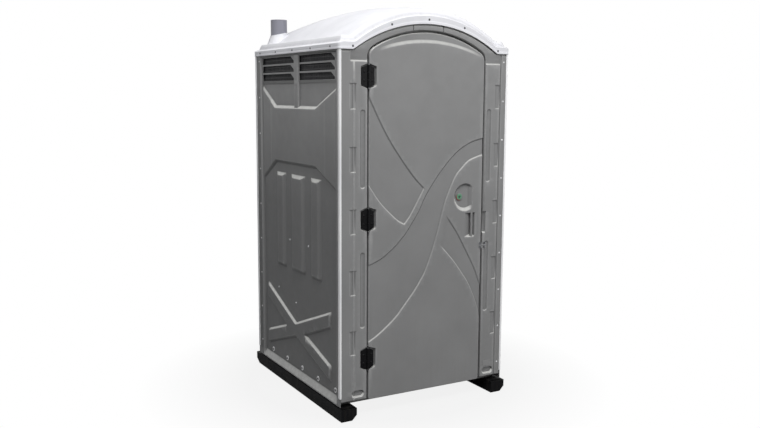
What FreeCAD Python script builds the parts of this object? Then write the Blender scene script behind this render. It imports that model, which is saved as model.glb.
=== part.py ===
import FreeCAD
import Part
import math
import os

from FreeCAD import Vector

# Portable toilet cabin, in millimetres. The front faces -Y, +X is to the viewer's right, +Z is up.
# The origin is on the ground, midway between the skids and midway between front and back.

# Cabin envelope, measured over the corner posts
BODY_WIDTH = 1118.0
BODY_DEPTH = 1219.0
EAVE_Z = 2057.0
HALF_WIDTH = BODY_WIDTH / 2
HALF_DEPTH = BODY_DEPTH / 2

# Skids
SKID_WIDTH = 98.0
SKID_HEIGHT = 70.0
SKID_OVERHANG = 30.5
SKID_PROUD = 5.0
SKID_EDGE_CHAMFER = 30.0
SKID_TAIL_LENGTH = 45.0
SKID_TAIL_RISE = 26.0
SKID_RECESS_WALL = 9.0
SKID_RECESS_DEPTH = 12.0
TIE_HOLE_RADIUS = 6.0
TIE_HOLE_SETBACK = 15.0

# Deck between the walls
DECK_THICKNESS = 25.0
DECK_RIM_HEIGHT = 75.0
DECK_RIM_THICKNESS = 12.0
DECK_EDGE_CHAMFER = 14.0

# Formed wall sheets
SHEET = 5.0
RELIEF = 18.0
WALL_FOOT_Z = 75.0
LEDGE_RISE = 55.0
LEDGE_LIP = 8.0
TOP_FLANGE_HEIGHT = 32.0
TOP_FLANGE_SLOPE = 9.0
FLANGE_SLOPE = 10.0
REAR_FLANGE_WIDTH = 76.0
REAR_FLANGE_SLOPE = 16.0
BACK_FLANGE_WIDTH = 50.0
BACK_FLANGE_SLOPE = 20.0
FORM_DEPTH = 30.0

# Raised band across each wall, wider at its ends
BAND_HEIGHT = 15.0
BAND_SLOPE = 15.0
BAND_LOW_Z = 1405.0
BAND_TOP_Z = 1740.0
BAND_SPREAD_NEAR = 111.0
BAND_SPREAD_FAR = 122.0
BAND_TAPER_NEAR = 268.0
BAND_TAPER_FAR = 216.0

# Three upright ribs below the band
RIB_HEIGHT = 11.0
RIB_SIDE_SLOPE = 28.0
RIB_END_SLOPE = 18.0
RIB_LOW_Z = 740.0
RIB_TOP_Z = 1334.0
RIB_PITCH = 253.0
RIB_WIDTH = 138.0
MIDDLE_RIB_WIDTH = 196.0

# Raised cross at the foot of each wall
CROSS_HEIGHT = 12.0
CROSS_SLOPE = 12.0
CROSS_CENTRE_Z = 371.0
CROSS_SHIFT = 38.0
CROSS_ARM_END = 98.0
CROSS_ARM_RISE = 174.0
CROSS_ARM_DROP = 145.0
CROSS_NOTCH_Z = 47.0
CROSS_NOTCH_SIDE = 150.0
CROSS_MARGIN_NEAR = 85.0
CROSS_MARGIN_FAR = 50.0

# Vent slots under the eave
VENT_LOW_Z = 1898.0
VENT_SLOT_HEIGHT = 41.0
VENT_BAR_HEIGHT = 10.0
VENT_ROWS = 3
VENT_MARGIN_NEAR = 24.0
VENT_MARGIN_FAR = 4.0
VENT_POINT = 50.0
VENT_RIB_WIDTH = 72.0
VENT_RIB_MARGIN = 2.0
VENT_RIB_HEIGHT = 9.0
VENT_RIB_SLOPE = 7.0
SCREEN_THICKNESS = 2.0
SCREEN_BORDER = 10.0
SCREEN_HOLE = 16.0
SCREEN_BAR = 5.5

# Corner posts
POST_THICKNESS = 2.5
POST_FRONT_LEG = 12.0
POST_SIDE_LEG = 21.0
POST_FOOT_Z = 124.0

# Door and its opening
LEFT_JAMB = 183.0
RIGHT_JAMB = 167.0
DOOR_LEFT = LEFT_JAMB - HALF_WIDTH
DOOR_RIGHT = HALF_WIDTH - RIGHT_JAMB
DOOR_FOOT_Z = 90.0
DOOR_APEX_Z = 2163.0
DOOR_ARCH_RADIUS = 700.0
DOOR_CORNER_RADIUS = 60.0
DOOR_FOOT_RADIUS = 14.0
DOOR_GAP = 11.0
DOOR_SKIN = 10.0
DOOR_INNER_SKIN = 4.0
DOOR_THICKNESS = 30.0
DOOR_RIM_WIDTH = 8.0
DOOR_RELIEF = 5.0
DOOR_CROWN_INSET = 14.0
DOOR_CROWN_DEPTH = 4.0
DOOR_CROWN_DROP = 48.0
DOOR_CROWN_EDGE_DROP = 118.0
RELIEF_DRAWN_WIDTH = 768.0

# Door relief: points that each smooth edge passes through, from the door's left edge and from the ground
LEAF_UPPER = [(5, 1800), (126, 1580), (276, 1378), (364, 1287)]
LEAF_LOWER = [(5, 1305), (76, 1210), (176, 1115), (231, 1083)]
LEAF_TIP = [(231, 1083), (266, 1125), (316, 1205), (364, 1287)]
SWOOSH_UPPER = [(5, 875), (126, 935), (226, 1025), (376, 1258), (526, 1443), (646, 1533), (762, 1567)]
SWOOSH_LOWER = [(5, 427), (176, 545), (326, 720), (426, 925), (496, 1160), (576, 1340), (676, 1435),
                (762, 1462)]
BLADE_UPPER = [(518, 1122), (596, 1015), (676, 880), (762, 705)]
BLADE_LOWER = [(472, 945), (576, 835), (676, 700), (762, 500)]

# Front frame around the door
FRAME_DEPTH = 41.0
FRAME_FACE = 14.0
FRAME_EDGE = 8.0
FRAME_FOOT_GAP = 5.0
STOP_THICKNESS = 10.0
STOP_OVERLAP = 8.0
HEADER_JOINT_LEFT = -98.0
HEADER_JOINT_RIGHT = 100.0
HEADER_REBATE = 3.0
HEADER_REBATE_DROP = 24.0
HEADER_RISE = 25.0
HEADER_LEDGE_Z = 1995.0
HEADER_LEDGE_HEIGHT = 9.0
HEADER_LEDGE_DEPTH = 3.0
HEADER_LEDGE_LENGTH = 108.0
SHORT_SLOT_WIDTH = 28.0
SHORT_SLOT_HEIGHT = 136.0
SHORT_SLOT_PITCH = 343.0
SHORT_SLOT_FIRST_Z = 436.0
SHORT_SLOT_COUNT = 5
SHORT_SLOT_OFFSET = 88.0
LONG_SLOT_WIDTH = 28.0
LONG_SLOT_OFFSET = 28.0
LONG_SLOT_HEIGHT = 428.0
LONG_SLOT_CENTRES_Z = (732.0, 1520.0)
SLOT_DEPTH = 5.0
DRAIN_SLOT_LENGTH = 76.0
DRAIN_SLOT_HEIGHT = 36.0
DRAIN_SLOT_DEPTH = 11.0
DRAIN_SLOT_CENTRE_Z = 138.0
DRAIN_SLOT_OFFSET = 56.0
EDGE_GROOVE_WIDTH = 10.0
EDGE_GROOVE_DEPTH = 4.0
EDGE_GROOVE_FROM_EDGE = 47.0
GRIP_RECESS_WIDTH = 18.0
GRIP_RECESS_DEPTH = 8.0
GRIP_RECESS_HEIGHT = 125.0
GRIP_RECESS_CENTRE_Z = 1062.0

# Roof
ROOF_PROUD = 5.5
ROOF_WALL = 5.0
ROOF_BAND_SIDE = 32.0
ROOF_BAND_APEX = 47.0
SHOULDER_WIDTH = 84.0
ARCH_HALF = HALF_WIDTH - SHOULDER_WIDTH
ARCH_RISE = 151.0
TIER_INSET = 24.0
TIER_REAR_INSET = 44.0
TIER_RISE = 41.0
TIER_APEX_RISE = 36.0
CROWN_RISE = 42.0
ROOF_STATIONS = 5

# Vent pipe
PIPE_RADIUS = 52.0
PIPE_WALL = 3.0
PIPE_SIDE_SETBACK = 119.0
PIPE_REAR_SETBACK = 119.5
PIPE_X = PIPE_SIDE_SETBACK - HALF_WIDTH
PIPE_Y = HALF_DEPTH - PIPE_REAR_SETBACK
PIPE_STANDS_PROUD = 75.0
PIPE_DIP = 40.0
PIPE_CLEARANCE = 0.3
COLLAR_RADIUS = 57.0
COLLAR_TOP_RISE = 155.0
COLLAR_TOP_LEAN = 25.0
COLLAR_FLARE_RADIUS = 78.0
COLLAR_FLARE_TOP_RISE = 123.0
COLLAR_FOOT_RISE = 70.0
COLLAR_LIFT = 0.3
COLLAR_FOOT_Z = EAVE_Z + COLLAR_FOOT_RISE
COLLAR_FLARE_TOP_Z = EAVE_Z + COLLAR_FLARE_TOP_RISE
COLLAR_TOP_Z = EAVE_Z + COLLAR_TOP_RISE
PIPE_TOP_Z = COLLAR_TOP_Z + PIPE_STANDS_PROUD
PIPE_HOLE_RADIUS = PIPE_RADIUS + 1.5

# Hinges
HINGE_CENTRES_Z = (335.0, 1130.0, 1915.0)
HINGE_HALF_HEIGHT = 63.0
LEAF_HALF_HEIGHT = 46.0
FRAME_LEAF_REACH = 44.0
DOOR_LEAF_REACH = 36.0
LEAF_THICKNESS = 8.0
LEAF_PROUD = 3.0
KNUCKLE_RADIUS = 7.0
KNUCKLE_GAP = 0.5
KNUCKLE_CLEARANCE = 1.5
HINGE_PIN_RADIUS = 3.0
RUNNING_CLEARANCE = 0.05
HINGE_AXIS_PROUD = 4.0
FRAME_POCKET_REACH = 46.0
DOOR_POCKET_REACH = 52.0
POCKET_MARGIN = 7.0
PIN_HEAD_RADIUS = 5.0
PIN_HEAD_HEIGHT = 2.0
HINGE_SCREW_RADIUS = 6.0
HINGE_SCREW_HEAD = 3.0
HINGE_SCREW_SPREAD = 24.0
HINGE_SCREW_SHARE = 0.62

# Latch: scoop and disc outside, housing, bolt and knob inside
LATCH_SETBACK = 157.0
LATCH_X = DOOR_RIGHT - LATCH_SETBACK
LATCH_Z = 1225.0
SCOOP_RADIUS = 82.0
SCOOP_CENTRE_X = LATCH_X + 37.0
SCOOP_CENTRE_Z = LATCH_Z - 5.0
SCOOP_DEPTH = 14.0
SCOOP_RIGHT_X = SCOOP_CENTRE_X + 50.0
BACKING_DEPTH = 12.0
BACKING_MARGIN = 12.0
DISC_RADIUS = 23.0
DISC_THICKNESS = 4.5
DISC_RECESS = 13.0
SPINDLE_RADIUS = 5.0
HOUSING_LEFT_X = LATCH_X - 47.0
HOUSING_RIGHT_X = DOOR_RIGHT - 20.0
HOUSING_HALF_HEIGHT = 42.0
HOUSING_DEPTH = 28.0
HOUSING_WALL = 4.0
BOLT_HALF_HEIGHT = 10.0
BOLT_THICKNESS = 10.0
BOLT_END_X = DOOR_RIGHT - 13.0
BOLT_START_X = LATCH_X + 27.0
BOLT_TRAVEL = 32.0
BOLT_TAIL_RISE = 21.0
SLIDE_CLEARANCE = 0.3
CAM_THICKNESS = 6.0
CAM_RADIUS = 27.0
DRIVE_PIN_RADIUS = 3.0
DRIVE_SLOT_CLEARANCE = 0.9
KNOB_RADIUS = 26.0
KNOB_DEPTH = 9.0
KNOB_GRIP_DEPTH = 16.0
KNOB_GRIP_THICKNESS = 11.0
KEEPER_LENGTH = 30.0
KEEPER_WALL = 8.0
KEEPER_DEPTH = 20.0
KEEPER_SETBACK = 1.0
PAD_WIDTH = 48.0
PAD_HALF_HEIGHT = 45.0

# Pull handle pocket
PULL_WIDTH = 65.0
PULL_RIGHT_X = DOOR_RIGHT - 52.0
PULL_LEFT_X = PULL_RIGHT_X - PULL_WIDTH
PULL_LOW_Z = 985.0
PULL_HEIGHT = 140.0
PULL_DEPTH = 21.0
PULL_BAR_WIDTH = 15.0
PULL_BAR_LEFT_X = PULL_RIGHT_X - 11.0 - PULL_BAR_WIDTH
PULL_BAR_DEPTH = 12.0
PULL_CORNER = 10.0

# Padlock tabs
TAB_Z = 925.0
TAB_HALF_HEIGHT = 17.0
TAB_THICKNESS = 3.0
TAB_PROJECTION = 16.0
TAB_FOOT = 8.0
TAB_HOLE_RADIUS = 4.5
TAB_SETBACK = 6.0

# Coat hook
HOOK_Z = 1650.0
HOOK_PLATE_WIDTH = 40.0
HOOK_PLATE_HEIGHT = 60.0
HOOK_PLATE_THICKNESS = 3.0
HOOK_WIRE_RADIUS = 4.0
HOOK_REACH = 32.0
HOOK_RISE = 26.0

# Waste tank
TANK_SIDE_GAP = 5.5
TANK_BACK_GAP = 4.0
TANK_DEPTH = 522.0
TANK_HEIGHT = 445.0
TANK_WALL = 6.0
TANK_TOE = 34.0
TANK_NOSE = 26.0
BOWL_HALF_WIDTH = 112.0
BOWL_HALF_LENGTH = 140.0

# Seat and lid
SEAT_SETBACK = 300.0
SEAT_HALF_WIDTH = 184.0
SEAT_HALF_LENGTH = 206.0
SEAT_HOLE_HALF_WIDTH = 118.0
SEAT_HOLE_HALF_LENGTH = 146.0
SEAT_THICKNESS = 18.0
SEAT_LIFT = 8.0
SEAT_FOOT_RADIUS = 9.0
SEAT_FOOT_CLEARANCE = 0.3
LID_THICKNESS = 12.0
LID_GAP = 3.0
LID_OPEN_ANGLE = 98.0
SEAT_AXIS_BEHIND = 18.0
SEAT_AXIS_HEIGHT = 22.0
SEAT_KNUCKLE_RADIUS = 11.0
SEAT_PIN_RADIUS = 5.0
SEAT_KNUCKLE_WIDTH = 16.0
SEAT_KNUCKLE_START = 56.0
SEAT_KNUCKLE_PITCH = 22.0
SEAT_PIN_SPARE = 8.0

# Urinal and its drain
URINAL_AHEAD = 146.0
URINAL_TOP_Z = 900.0
URINAL_HEIGHT = 280.0
URINAL_TOP_HALF = 150.0
URINAL_FOOT_HALF = 60.0
URINAL_TOP_REACH = 200.0
URINAL_FOOT_REACH = 110.0
URINAL_WALL = 5.0
URINAL_BACK_RISE = 230.0
URINAL_BACK_MARGIN = 25.0
DRAIN_RADIUS = 17.0
DRAIN_WALL = 2.5
DRAIN_BEND = 70.0
DRAIN_Z = 440.0

# Paper holder on the left wall
PAPER_Z = 800.0
PAPER_BEHIND = 4.0
ROLL_RADIUS = 55.0
ROLL_WIDTH = 100.0
ROLL_GAP = 14.0
PAPER_SPINDLE_RADIUS = 18.0
ROLL_CORE_CLEARANCE = 0.08
PAPER_JOURNAL_RADIUS = 6.0
PAPER_ARM_THICKNESS = 6.0
PAPER_PLATE_THICKNESS = 4.0
PAPER_OFFSET = 66.0
PAPER_ARM_REACH = 92.0
PAPER_HALF_HEIGHT = 60.0

# Fasteners
RIVET_RADIUS = 5.5
RIVET_HEIGHT = 2.5
RIVET_FIRST_Z = 180.0
RIVET_PITCH = 228.5
WALL_RIVET_PITCH = 230.5
RIVET_COUNT = 9
FRAME_RIVET_INSET = 21.0
WALL_RIVET_INSET = 62.0
ROOF_SCREW_RADIUS = 6.0
ROOF_SCREW_HEIGHT = 3.0
ROOF_SCREW_SIDE_PITCH = 254.0
ROOF_SCREW_SIDE_COUNT = 5
ROOF_SCREW_FRONT_PITCH = 240.0
ROOF_SCREW_FRONT_COUNT = 5
WALL_BOLT_Z = 148.0
WALL_BOLT_COUNT = 5
WALL_BOLT_FRONT_INSET = 35.5
WALL_BOLT_REAR_INSET = 117.5
WALL_BOLT_RADIUS = 4.0
WALL_BOLT_HEAD_RADIUS = 7.5
WALL_BOLT_HEAD_HEIGHT = 4.5
WASHER_RADIUS = 15.0
WASHER_THICKNESS = 3.0
BOLT_HOLE_CLEARANCE = 0.4
SKID_BOLT_RADIUS = 5.0
SKID_BOLT_HEAD_RADIUS = 10.0
SKID_BOLT_HEAD_HEIGHT = 4.0
SKID_BOLT_PITCH = 510.0
SKID_BOLT_COUNT = 3
SKID_BOLT_DEPTH = 40.0
SMALL_HEAD_RADIUS = 6.0
SMALL_HEAD_HEIGHT = 3.0
SMALL_HEAD_PLACES = ((115.0, 923.0), (-158.0, 923.0), (299.0, 586.0), (29.0, 540.0))
PLATE_WIDTH = 54.0
PLATE_HEIGHT = 35.0
PLATE_THICKNESS = 1.5
PLATE_CENTRE_Z = 183.0
PLATE_FROM_EDGE = 98.5

# Planes that the pieces share
SKIN_X = HALF_WIDTH - POST_THICKNESS
SKIN_Y = HALF_DEPTH - POST_THICKNESS
INNER_X = SKIN_X - SHEET
FIELD_X = SKIN_X - RELIEF
FIELD_INNER_X = FIELD_X - SHEET
FIELD_INNER_Y = SKIN_Y - RELIEF - SHEET
FACE_Y = -SKIN_Y
FRAME_BACK_Y = FACE_Y + FRAME_DEPTH
DOOR_BACK_Y = FACE_Y + DOOR_THICKNESS
DOOR_INNER_Y = DOOR_BACK_Y - DOOR_INNER_SKIN
DECK_TOP_Z = SKID_HEIGHT + DECK_THICKNESS
DECK_HALF_WIDTH = FIELD_INNER_X
TANK_TOP_Z = DECK_TOP_Z + TANK_HEIGHT
TANK_SEAM_Z = TANK_TOP_Z - TANK_NOSE
TANK_HALF_WIDTH = DECK_HALF_WIDTH - DECK_RIM_THICKNESS - TANK_SIDE_GAP
TANK_BACK_Y = FIELD_INNER_Y - DECK_RIM_THICKNESS - TANK_BACK_GAP
TANK_FRONT_Y = TANK_BACK_Y - TANK_DEPTH
SEAT_CENTRE_Y = TANK_BACK_Y - SEAT_SETBACK
URINAL_Y = TANK_FRONT_Y - URINAL_AHEAD
PAPER_Y = TANK_FRONT_Y + PAPER_BEHIND
ROOF_HALF_WIDTH = HALF_WIDTH + ROOF_PROUD
ROOF_HALF_DEPTH = HALF_DEPTH + ROOF_PROUD
ROOF_SEAT_Z = EAVE_Z + ROOF_BAND_SIDE - ROOF_WALL
HEADER_APEX_Z = EAVE_Z + ARCH_RISE + HEADER_RISE
FRAME_FOOT_Z = DECK_TOP_Z + FRAME_FOOT_GAP
OPENING_LEFT = DOOR_LEFT - DOOR_GAP
OPENING_RIGHT = DOOR_RIGHT + DOOR_GAP
HINGE_X = DOOR_LEFT - DOOR_GAP / 2
HINGE_Y = FACE_Y - HINGE_AXIS_PROUD
SKID_OUTER_X = HALF_WIDTH + SKID_PROUD
SKID_CENTRE_X = SKID_OUTER_X - SKID_WIDTH / 2
SKID_HALF_LENGTH = HALF_DEPTH + SKID_OVERHANG
FRAME_FLANGE_WIDTH = FRAME_DEPTH + 3.0
FIELD_FRONT_Y = -SKIN_Y + FRAME_FLANGE_WIDTH + FLANGE_SLOPE
FIELD_REAR_Y = SKIN_Y - REAR_FLANGE_WIDTH - REAR_FLANGE_SLOPE
SPARE = 20.0


def box(x0, x1, y0, y1, z0, z1):
    return Part.makeBox(x1 - x0, y1 - y0, z1 - z0, Vector(x0, y0, z0))


def rod(start, direction, radius, length):
    return Part.makeCylinder(radius, length, start, direction)


def tube(start, direction, outer, inner, length):
    return rod(start, direction, outer, length).cut(rod(start, direction, inner, length))


def place(axis, level, point):
    """A point given in the plane square to an axis, at a level along that axis."""
    if axis == "x":
        return Vector(level, point[0], point[1])
    if axis == "y":
        return Vector(point[0], level, point[1])
    return Vector(point[0], point[1], level)


def polygon(points, axis, level):
    corners = [place(axis, level, point) for point in points]
    return Part.makePolygon(corners + [corners[0]])


def prism(points, axis, low, high):
    along = place(axis, high, (0, 0)) - place(axis, low, (0, 0))
    return Part.Face(polygon(points, axis, low)).extrude(along)


def inset(points, distance):
    """Moves every side of a polygon inwards by the distance."""
    count = len(points)
    area = sum(points[i - 1][0] * points[i][1] - points[i][0] * points[i - 1][1] for i in range(count))
    turn = 1.0 if area > 0 else -1.0
    sides = []
    for i in range(count):
        x0, z0 = points[i]
        x1, z1 = points[(i + 1) % count]
        length = math.hypot(x1 - x0, z1 - z0)
        normal = (-turn * (z1 - z0) / length, turn * (x1 - x0) / length)
        sides.append((normal, normal[0] * x0 + normal[1] * z0 + distance))
    moved = []
    for i in range(count):
        (ax, az), a = sides[i - 1]
        (bx, bz), b = sides[i]
        cross = ax * bz - az * bx
        moved.append(((a * bz - b * az) / cross, (ax * b - bx * a) / cross))
    return moved


def raised(points, axis, base, top, slope):
    """A flat-topped pad with sloping sides, from its outline at the base."""
    lower = polygon(points, axis, base)
    upper = polygon(inset(points, slope), axis, top)
    return Part.makeLoft([lower, upper], True, True)


def fuse_all(shapes):
    return shapes[0].multiFuse(shapes[1:]).removeSplitter()


def formed_sheet(form, inward, thickness):
    """A sheet that follows a form: the form less itself, moved inwards."""
    return form.cut(form.translated(inward * thickness))


def button(centre, outward, radius, height):
    """A low domed fastener head on a face, turned about its own axis."""
    bulge = (radius * radius + height * height) / (2 * height)
    ball = Part.makeSphere(bulge, centre - outward * (bulge - height), outward)
    return ball.common(rod(centre, outward, radius * 1.5, height * 2))


def mirrored(shape):
    return shape.mirror(Vector(0, 0, 0), Vector(1, 0, 0))


def arc_edge(centre, radius, start, end, y):
    """An arc in a plane of constant y, between two angles in degrees from +X towards +Z."""
    points = []
    for angle in (start, (start + end) / 2, end):
        turn = math.radians(angle)
        points.append(Vector(centre[0] + radius * math.cos(turn), y, centre[1] + radius * math.sin(turn)))
    return Part.Arc(points[0], points[1], points[2]).toShape()


def angle_of(centre, point):
    return math.degrees(math.atan2(point[1] - centre[1], point[0] - centre[0]))


def line(a, b, y):
    return Part.makeLine(Vector(a[0], y, a[1]), Vector(b[0], y, b[1]))


def arched_face(margin, foot_z, y):
    """The door's outline, moved in by a margin (out if negative), with its own foot height."""
    left = DOOR_LEFT + margin
    right = DOOR_RIGHT - margin
    arch = DOOR_ARCH_RADIUS - margin
    corner = DOOR_CORNER_RADIUS - margin
    foot = max(DOOR_FOOT_RADIUS - margin, 1.0)
    centre = (0.0, DOOR_APEX_Z - DOOR_ARCH_RADIUS)
    reach = arch - corner
    right_c = (right - corner, centre[1] + math.sqrt(reach ** 2 - (right - corner) ** 2))
    left_c = (left + corner, centre[1] + math.sqrt(reach ** 2 - (left + corner) ** 2))
    right_turn = angle_of(centre, right_c)
    left_turn = angle_of(centre, left_c)
    edges = [
        line((left + foot, foot_z), (right - foot, foot_z), y),
        arc_edge((right - foot, foot_z + foot), foot, -90, 0, y),
        line((right, foot_z + foot), (right, right_c[1]), y),
        arc_edge(right_c, corner, 0, right_turn, y),
        arc_edge(centre, arch, right_turn, left_turn, y),
        arc_edge(left_c, corner, left_turn, 180, y),
        line((left, left_c[1]), (left, foot_z + foot), y),
        arc_edge((left + foot, foot_z + foot), foot, 180, 270, y),
    ]
    return Part.Face(Part.Wire(edges))


def arch_wire(y, half, side_z, apex_z, reach, base_z):
    """A vault section: flat shoulders out to the reach, and an arc between them."""
    arc = Part.Arc(Vector(-half, y, side_z), Vector(0, y, apex_z), Vector(half, y, side_z)).toShape()
    return Part.Wire([
        line((-reach, base_z), (-reach, side_z), y),
        line((-reach, side_z), (-half, side_z), y),
        arc,
        line((half, side_z), (reach, side_z), y),
        line((reach, side_z), (reach, base_z), y),
        line((reach, base_z), (-reach, base_z), y),
    ])


def arch_block(y0, y1, half, side_z, apex_z, reach, base_z):
    face = Part.Face(arch_wire(y0, half, side_z, apex_z, reach, base_z))
    return face.extrude(Vector(0, y1 - y0, 0))


def on_door(point):
    """A relief point in the cabin's frame. The relief stretches with the door's width."""
    stretch = (DOOR_RIGHT - DOOR_LEFT) / RELIEF_DRAWN_WIDTH
    return DOOR_LEFT + point[0] * stretch, point[1]


def smooth_edge(points, y):
    curve = Part.BSplineCurve()
    curve.interpolate([Vector(x, y, z) for x, z in points])
    return curve.toShape()


def relief_face(upper, lower, y, tip=None):
    """The face between two smooth edges that both run left to right."""
    upper = [on_door(point) for point in upper]
    lower = [on_door(point) for point in lower]
    tip = [on_door(point) for point in tip] if tip else None
    edges = [smooth_edge(upper, y)]
    if tip is None:
        edges.append(line(upper[-1], lower[-1], y))
    else:
        edges.append(smooth_edge(tip, y))
    edges.append(smooth_edge(lower, y))
    if upper[0] != lower[0]:
        edges.append(line(lower[0], upper[0], y))
    return Part.Face(Part.Wire(Part.sortEdges(edges)[0]))


def round_slot(x, z, width, height, y0, y1):
    """An upright slot with round ends, or a level one where it is wider than it is high."""
    radius = min(width, height) / 2
    shapes = []
    if height > width:
        offsets = [(0, height / 2 - radius), (0, radius - height / 2)]
        shapes.append(box(x - radius, x + radius, y0, y1, z - height / 2 + radius, z + height / 2 - radius))
    else:
        offsets = [(width / 2 - radius, 0), (radius - width / 2, 0)]
        shapes.append(box(x - width / 2 + radius, x + width / 2 - radius, y0, y1, z - radius, z + radius))
    for dx, dz in offsets:
        shapes.append(rod(Vector(x + dx, y0, z + dz), Vector(0, 1, 0), radius, y1 - y0))
    return fuse_all(shapes)


def save(name, shapes):
    """Writes one node, as one or more separate solids."""
    solids = []
    for shape in shapes:
        solids.extend(shape.Solids)
    for solid in solids:
        if not solid.isValid() or solid.Volume <= 0:
            print("bad solid in", name, solid.Volume)
    compound = Part.makeCompound(solids)
    compound.exportStep("parts/" + name + ".step")
    print(name, len(solids), round(compound.Volume / 1000, 1), "cm3")


# Skids

def skid(side):
    """One skid. Both have the same section, with the chamfer along the lower right edge."""
    x0 = side * SKID_CENTRE_X - SKID_WIDTH / 2
    x1 = x0 + SKID_WIDTH
    section = [(x0, 0), (x1 - SKID_EDGE_CHAMFER, 0), (x1, SKID_EDGE_CHAMFER), (x1, SKID_HEIGHT),
               (x0, SKID_HEIGHT)]
    body = prism(section, "y", -SKID_HALF_LENGTH, SKID_HALF_LENGTH)
    tail = [(SKID_HALF_LENGTH - SKID_TAIL_LENGTH, 0), (SKID_HALF_LENGTH, SKID_TAIL_RISE),
            (SKID_HALF_LENGTH, 0)]
    body = body.cut(prism(tail, "x", x0 - 1, x1 + 1))
    for end in (-1, 1):
        hole_y = end * (SKID_HALF_LENGTH - TIE_HOLE_SETBACK)
        near = min(end * (HALF_DEPTH + 2), end * (SKID_HALF_LENGTH - SKID_RECESS_WALL / 2))
        far = max(end * (HALF_DEPTH + 2), end * (SKID_HALF_LENGTH - SKID_RECESS_WALL / 2))
        body = body.cut(box(x0 + SKID_RECESS_WALL, x1 - SKID_RECESS_WALL, near, far,
                            SKID_HEIGHT - SKID_RECESS_DEPTH, SKID_HEIGHT + 1))
        body = body.cut(rod(Vector(side * SKID_CENTRE_X, hole_y, -1), Vector(0, 0, 1), TIE_HOLE_RADIUS,
                            SKID_HEIGHT + 2))
    for y in skid_bolt_rows():
        hole = rod(Vector(skid_bolt_x(side), y, SKID_HEIGHT - SKID_BOLT_DEPTH), Vector(0, 0, 1),
                   SKID_BOLT_RADIUS + BOLT_HOLE_CLEARANCE, SKID_BOLT_DEPTH + 1)
        body = body.cut(hole)
    return body


def skid_bolt_x(side):
    return side * (SKID_OUTER_X - SKID_WIDTH + 25.0)


def skid_bolt_rows():
    middle = (SKID_BOLT_COUNT - 1) / 2
    return [(i - middle) * SKID_BOLT_PITCH for i in range(SKID_BOLT_COUNT)]


def skid_bolts():
    bolts = []
    for side in (-1, 1):
        for y in skid_bolt_rows():
            foot = Vector(skid_bolt_x(side), y, SKID_HEIGHT - SKID_BOLT_DEPTH)
            length = SKID_BOLT_DEPTH + DECK_THICKNESS
            shank = rod(foot, Vector(0, 0, 1), SKID_BOLT_RADIUS, length)
            head = rod(Vector(foot.x, y, DECK_TOP_Z - SKID_BOLT_HEAD_HEIGHT), Vector(0, 0, 1),
                       SKID_BOLT_HEAD_RADIUS, SKID_BOLT_HEAD_HEIGHT)
            bolts.append(shank.fuse(head).removeSplitter())
    return bolts


# Deck

def wall_bolt_rows():
    first = FIELD_FRONT_Y + WALL_BOLT_FRONT_INSET
    pitch = (FIELD_REAR_Y - WALL_BOLT_REAR_INSET - first) / (WALL_BOLT_COUNT - 1)
    return [first + i * pitch for i in range(WALL_BOLT_COUNT)]


def base_deck():
    rear_y = FIELD_INNER_Y
    front_y = FRAME_BACK_Y
    profile = [(front_y + DECK_EDGE_CHAMFER, SKID_HEIGHT), (rear_y, SKID_HEIGHT), (rear_y, DECK_TOP_Z),
               (front_y, DECK_TOP_Z), (front_y, SKID_HEIGHT + DECK_EDGE_CHAMFER)]
    slab = prism(profile, "x", -DECK_HALF_WIDTH, DECK_HALF_WIDTH)
    rim = box(-DECK_HALF_WIDTH, DECK_HALF_WIDTH, front_y, rear_y, DECK_TOP_Z, DECK_TOP_Z + DECK_RIM_HEIGHT)
    rim = rim.cut(box(-DECK_HALF_WIDTH + DECK_RIM_THICKNESS, DECK_HALF_WIDTH - DECK_RIM_THICKNESS,
                      front_y + DECK_RIM_THICKNESS, rear_y - DECK_RIM_THICKNESS, DECK_TOP_Z - 1,
                      DECK_TOP_Z + DECK_RIM_HEIGHT + 1))
    rim = rim.cut(box(OPENING_LEFT, OPENING_RIGHT, front_y - 1, front_y + DECK_RIM_THICKNESS + 1,
                      DECK_TOP_Z - 1, DECK_TOP_Z + DECK_RIM_HEIGHT + 1))
    deck = slab.fuse(rim).removeSplitter()
    for side in (-1, 1):
        for y in skid_bolt_rows():
            x = skid_bolt_x(side)
            deck = deck.cut(rod(Vector(x, y, SKID_HEIGHT - 1), Vector(0, 0, 1),
                                SKID_BOLT_RADIUS + BOLT_HOLE_CLEARANCE, DECK_THICKNESS + 2))
            deck = deck.cut(rod(Vector(x, y, DECK_TOP_Z - SKID_BOLT_HEAD_HEIGHT), Vector(0, 0, 1),
                                SKID_BOLT_HEAD_RADIUS + BOLT_HOLE_CLEARANCE, SKID_BOLT_HEAD_HEIGHT + 1))
        for y in wall_bolt_rows():
            deck = deck.cut(rod(Vector(side * (DECK_HALF_WIDTH - DECK_RIM_THICKNESS - 1), y, WALL_BOLT_Z),
                                Vector(side, 0, 0), WALL_BOLT_RADIUS + BOLT_HOLE_CLEARANCE,
                                DECK_RIM_THICKNESS + 2))
    return deck


# Walls, built with their outer face on the plane x = 0 and looking towards -X, along u = y

def band_outline(low, high):
    return [
        (high, BAND_LOW_Z - BAND_SPREAD_FAR), (high - BAND_TAPER_FAR, BAND_LOW_Z),
        (low + BAND_TAPER_NEAR, BAND_LOW_Z), (low, BAND_LOW_Z - BAND_SPREAD_NEAR),
        (low, BAND_TOP_Z + BAND_SPREAD_NEAR), (low + BAND_TAPER_NEAR, BAND_TOP_Z),
        (high - BAND_TAPER_FAR, BAND_TOP_Z), (high, BAND_TOP_Z + BAND_SPREAD_FAR),
    ]


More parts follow.
